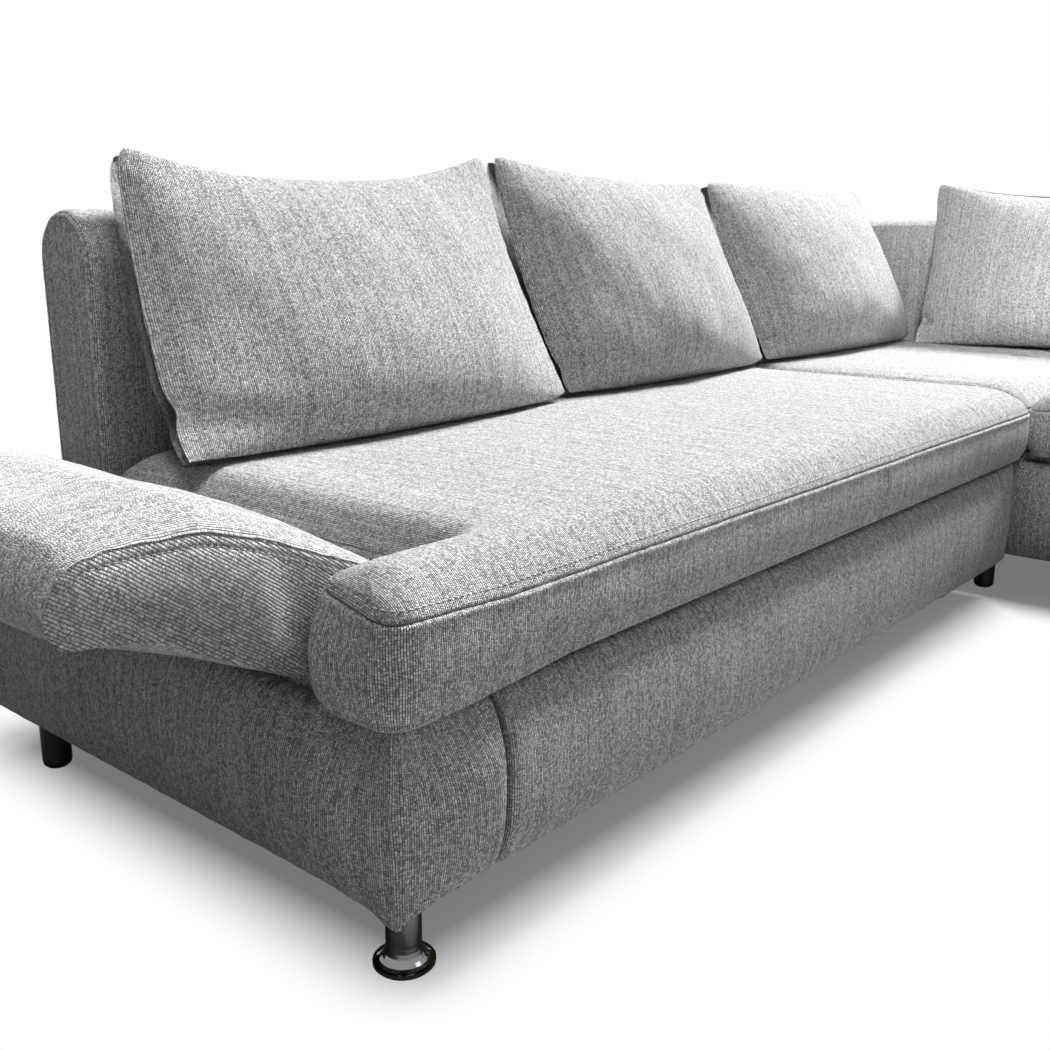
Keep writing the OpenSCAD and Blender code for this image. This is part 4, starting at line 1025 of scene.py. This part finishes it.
def loose_cushion(seed, tips, sag, tuck, bulge, foot):
    """One cushion standing on its lower seam at the origin. tips moves its corners from the plain
    rectangle, as (across, up) from the upper left clockwise; sag is the drop of its upper edge, foot is
    how far its lower edge has slid forwards at the left and at the right.
    """
    w, h, thickness = 759.0, 430.0, 176.0
    lean, middle = math.radians(12.5), -87.5
    edge_steps = [0, 2, 4.5, 8, 12, 17, 23, 30]
    across = np.array([*edge_steps, *np.linspace(39, w - 39, 70), *[w - e for e in reversed(edge_steps)]])
    rising = np.array([*edge_steps, 34, 37, 40, 43, 46, 49, 52, 55, 59, 64, 70, 77,
                       *np.linspace(86, h - 39, 32), *[h - e for e in reversed(edge_steps)]])
    u, v = np.meshgrid(across / w * 2 - 1, rising / h * 2 - 1)
    a, b = (u + 1) / 2, (v + 1) / 2
    waves, pucker, crease = ripple(seed, 200), ripple(seed + 1, 26), ripple(seed + 2, 75)
    spread = [(1 - a) * b, a * b, a * (1 - b), (1 - a) * (1 - b)]
    x = u * w / 2 + sum(share * tip[0] for share, tip in zip(spread, tips))
    up = v * h / 2 + sum(share * tip[1] for share, tip in zip(spread, tips))
    x = x - np.sign(u) * np.abs(u) ** 3 * 9 * (1 - v * v) + bulge * a ** 4 * (1 - v * v)
    up = up - sag * b ** 1.5 * (1 - np.abs(u) ** 2.6)
    if tuck:
        x = x + 9 * np.exp(-((up + h / 2 - tuck[1]) / 16) ** 2) * (1 - a) ** 14
    tip_share = (np.abs(u) * np.abs(v)) ** 12 * (1 - 0.7 * (u < 0) * (v < 0))
    x, up = x - np.sign(u) * 13 * tip_share, up - np.sign(v) * 10 * tip_share
    fullness = (1 - u * u).clip(0) ** 0.78 * (1 - np.abs(v) ** 3.4).clip(0) ** 0.52 * (1 - 0.16 * v)
    edge = np.minimum(1 - np.abs(u), (1 - np.abs(v)) * h / w) * w / 2
    cover = Cover()
    for side in (1, -1):
        depth = 3.0 + thickness * fullness
        rough = waves(x, up + 900 * side) * 5.0 + crease(x, up + 500 * side) * 1.8
        depth = depth + rough * np.minimum(1, edge / 70)
        sideways = 1 - np.abs(u) < (1 - np.abs(v)) * h / w
        seamwise = np.where(sideways, up, x)
        reach = np.where(sideways & (u < 0), 22.0, 13.0)
        depth = depth + pucker(seamwise, 40.0 * side) * 4.2 * np.exp(-((edge - 12) / reach) ** 2)
        if side == -1 and tuck:
            # a fold runs in from the side near the lower left corner, and the cloth above overhangs it
            length, start, rise = tuck
            way = (u + 1) / 2 * w / length
            fade = np.clip(1.12 - way, 0, 1) ** 0.6 * np.clip(way * 5, 0, 1)
            above = v * h / 2 - (-h / 2 + start + rise * way)
            depth = depth - fade * 22 * np.exp(-(above / 15) ** 2) * (above > 0)
            depth = depth - fade * 22 * np.exp(-(-above / 30).clip(0) ** 1.5) * (above <= 0)
        slid = 24 + foot[0] * (1 - a) + foot[1] * a
        back = 20 * (1 - v * v) + 26 * (1 + v) - slid * ((1 - v) / 2) ** 2
        fuller = 1 + 0.42 * (1 - v * v) * -side
        d = side * np.maximum(depth, 2.6) / 2 * fuller
        y = middle + v * h / 2 * math.sin(lean) + back + d * math.cos(lean)
        z = h / 2 * math.cos(lean) - 2 + up * math.cos(lean) - d * math.sin(lean)
        # it lies against the back rest, and over its rounded top
        over = z + seat_top - back_spring
        crest = np.clip(over / back_rise, 0, 1)
        wall = back_half - back_half * np.sqrt(1 - crest * crest)
        wall = np.where(over > back_rise - 0.1, 400.0, wall) - 0.4
        points = np.stack([x, np.minimum(y, wall), np.maximum(z, 0.3)], -1)
        flat = np.stack([u * w / 2 + seed * 17, v * h / 2 + side * 1000], -1)
        cover.panel(points[:, ::-side], flat[:, ::-side])
    return cover


def plump(piece):
    """Lets the filling press the sewn cover out for a moment, so that the cloth wrinkles at its seams."""
    frames, furthest = 20, 0.010
    rest = np.empty(len(piece.data.vertices) * 3)
    piece.data.vertices.foreach_get("co", rest)
    rest = rest.reshape(-1, 3)
    cloth = piece.modifiers.new("filling", "CLOTH")
    cloth.settings.quality = 4
    cloth.settings.mass = 0.35
    cloth.settings.tension_stiffness = cloth.settings.compression_stiffness = 25
    cloth.settings.shear_stiffness = 8
    cloth.settings.bending_stiffness = 0.4
    cloth.settings.use_pressure = True
    cloth.settings.uniform_pressure_force = 4
    cloth.settings.effector_weights.gravity = 0
    cloth.point_cache.frame_end = frames
    scene = bpy.context.scene
    for number in range(1, frames + 1):
        scene.frame_set(number)
    shaped = piece.evaluated_get(bpy.context.evaluated_depsgraph_get())
    moved = np.empty(len(rest) * 3)
    shaped.data.vertices.foreach_get("co", moved)
    step = moved.reshape(-1, 3) - rest
    far = np.linalg.norm(step, axis=1, keepdims=True)
    step *= np.minimum(1, furthest / np.maximum(far, 1e-9))
    piece.modifiers.remove(cloth)
    piece.data.vertices.foreach_set("co", (rest + step).ravel())
    scene.frame_set(1)


cushion_rows = [
    ((481.5, 680, 0), ((45, -10), (16, 8), (38, 0), (-14, -3)), 58, (170, 62, -26), 0, (42, 18)),
    ((1243.5, 680, 0), ((24, 10), (-34, -22), (6, 0), (44, 0)), 28, (112, 46, 5), 10, (0, 0)),
    ((2005.5, 680, 0), ((-24, -18), (2, -22), (50, 0), (16, 0)), 14, (92, 46, 5), 34, (-10, 0)),
    ((2490, 95.5, -90), ((-36, 10), (-8, -4), (0, 0), (0, 0)), 48, (70, 60, -22), 0, (0, 0)),
    ((2490, -666.5, -90), ((10, 0), (-16, 4), (-4, 0), (4, 0)), 46, None, 0, (0, 0))]
for number, ((x, y, turn), tips, sag, tuck, bulge, foot) in enumerate(cushion_rows, 1):
    cover = loose_cushion(100 + number * 7, tips, sag, tuck, bulge, foot)
    points = np.vstack(cover.points)
    c, s = math.cos(math.radians(turn)), math.sin(math.radians(turn))
    placed = np.column_stack([x + points[:, 0] * c - points[:, 1] * s,
                              y + points[:, 0] * s + points[:, 1] * c, seat_top + points[:, 2]])
    cover.points = [placed]
    cushion = cover.sew(f"back_cushion_{number}", woven_fabric,
                        f"loose_cushion_{number}", f"cushion_{number}")
    plump(cushion)


# Studio: floor, lamps and camera
# A plain white floor that keeps the soft shadow under the sofa, a broad lamp high on the right, weaker
# ones overhead and in front, two small ones on the arm and into the corner, and the photo's camera.
def beyond(one, other):
    """Distance from a rectangle, from the distances beyond its two pairs of sides."""
    one, other = one.math("MAXIMUM", one, 0.0), one.math("MAXIMUM", other, 0.0)
    return (one * one + other * other) ** 0.5


def studio_floor():
    """Keeps the shadow near the sofa and is plain white further out, where the camera sees it."""
    floor = Finish("white studio floor")
    place = floor.place()
    cloud = floor.noise(place, 3, 2)
    seen = floor.node("ShaderNodeLightPath").other("Is Camera Ray")
    glow = floor.node("ShaderNodeEmission", {}, {"Color": (1, 1, 1, 1), "Strength": 0.06})
    white = floor.node("ShaderNodeEmission", {}, {"Color": (1, 1, 1, 1), "Strength": 1.0})
    dull = floor.node("ShaderNodeBsdfDiffuse", {}, {"Color": (0.37, 0.37, 0.37, 1)})
    paint = floor.node("ShaderNodeBsdfPrincipled", {}, {
        "Base Color": floor.mixed(cloud, (0.41, 0.41, 0.41), (0.43, 0.43, 0.43)), "Roughness": 0.9})
    both = floor.node("ShaderNodeAddShader", {}, {0: glow, 1: paint})
    x = floor.node("ShaderNodeSeparateXYZ", {}, {"Vector": place})
    y = x.other("Y")
    from_seat = beyond((x - 0.82).size() - 0.80, (y - 0.43).size() - 0.42)
    from_return = beyond((x - 2.10).size() - 0.44, (y + 0.18).size() - 0.97)
    away = x.math("MINIMUM", from_seat, from_return)
    far = ((away + 0.035) / 0.165).limit()
    far = far * far * (3.0 - far * 2.0)
    shaded = floor.node("ShaderNodeMixShader", {}, {0: far, 1: both, 2: white})
    shown = floor.node("ShaderNodeMixShader", {}, {0: seen, 1: dull, 2: shaded})
    floor.node("ShaderNodeOutputMaterial", {}, {"Surface": shown})
    return floor.material


mesh = bpy.data.meshes.new("studio_floor")
mesh.from_pydata([(-14, -14, 0), (16, -14, 0), (16, 16, 0), (-14, 16, 0)], [], [(0, 1, 2, 3)])
mesh.materials.append(studio_floor())
floor = bpy.data.objects.new("studio_floor", mesh)
bpy.context.scene.collection.objects.link(floor)

scene = bpy.context.scene
scene.view_settings.view_transform = "Standard"
scene.world = bpy.data.worlds.new("studio")
backdrop = Finish("studio", scene.world)
rays = backdrop.node("ShaderNodeLightPath")
seen = rays.math("MAXIMUM", rays.other("Is Camera Ray"), rays.other("Is Glossy Ray"))
backdrop.node("ShaderNodeOutputWorld", {}, {"Surface": backdrop.node(
    "ShaderNodeBackground", {}, {"Color": (1, 1, 1, 1), "Strength": seen * 0.92 + 0.08})})


def lamp(name, place, target, size, power, spread=180):
    """A soft rectangular lamp of that many watts, aimed at the target."""
    light = bpy.data.lights.new(name, "AREA")
    light.spread = math.radians(spread)
    light.shape, light.size, light.size_y, light.energy = "RECTANGLE", size[0], size[1], power
    fitting = bpy.data.objects.new(name, light)
    fitting.location = place
    fitting.rotation_euler = (Vector(target) - Vector(place)).to_track_quat("-Z", "Y").to_euler()
    scene.collection.objects.link(fitting)


lamp("front_softbox", (1.4, -2.3, 2.3), (1.2, 0.0, 0.35), (1.3, 1.1), 12)
lamp("right_softbox", (9.5, -0.1, 8.7), (0.9, 0.2, 0.4), (3.0, 3.0), 3450)
lamp("overhead_softbox", (0.7, 0.2, 4.4), (0.7, 0.2, 0.4), (3.0, 1.4), 58)
lamp("corner_softbox", (0.6, -0.7, 1.6), (2.5, -0.1, 0.66), (0.6, 0.6), 5.5, 45)
lamp("arm_softbox", (-0.55, 0.3, 3.0), (-0.35, 0.4, 0.47), (0.4, 0.9), 1.4, 24)

camera = bpy.data.objects.new("camera", bpy.data.cameras.new("camera"))
camera.data.sensor_width, camera.data.lens = 36.0, 39.90
camera.location = (-0.7231, -0.7845, 0.7383)
pitch, yaw = 0.2487, 0.7086
ahead = Vector((math.cos(pitch) * math.cos(yaw), math.cos(pitch) * math.sin(yaw), -math.sin(pitch)))
camera.rotation_euler = ahead.to_track_quat("-Z", "Y").to_euler()
scene.collection.objects.link(camera)
scene.camera = camera
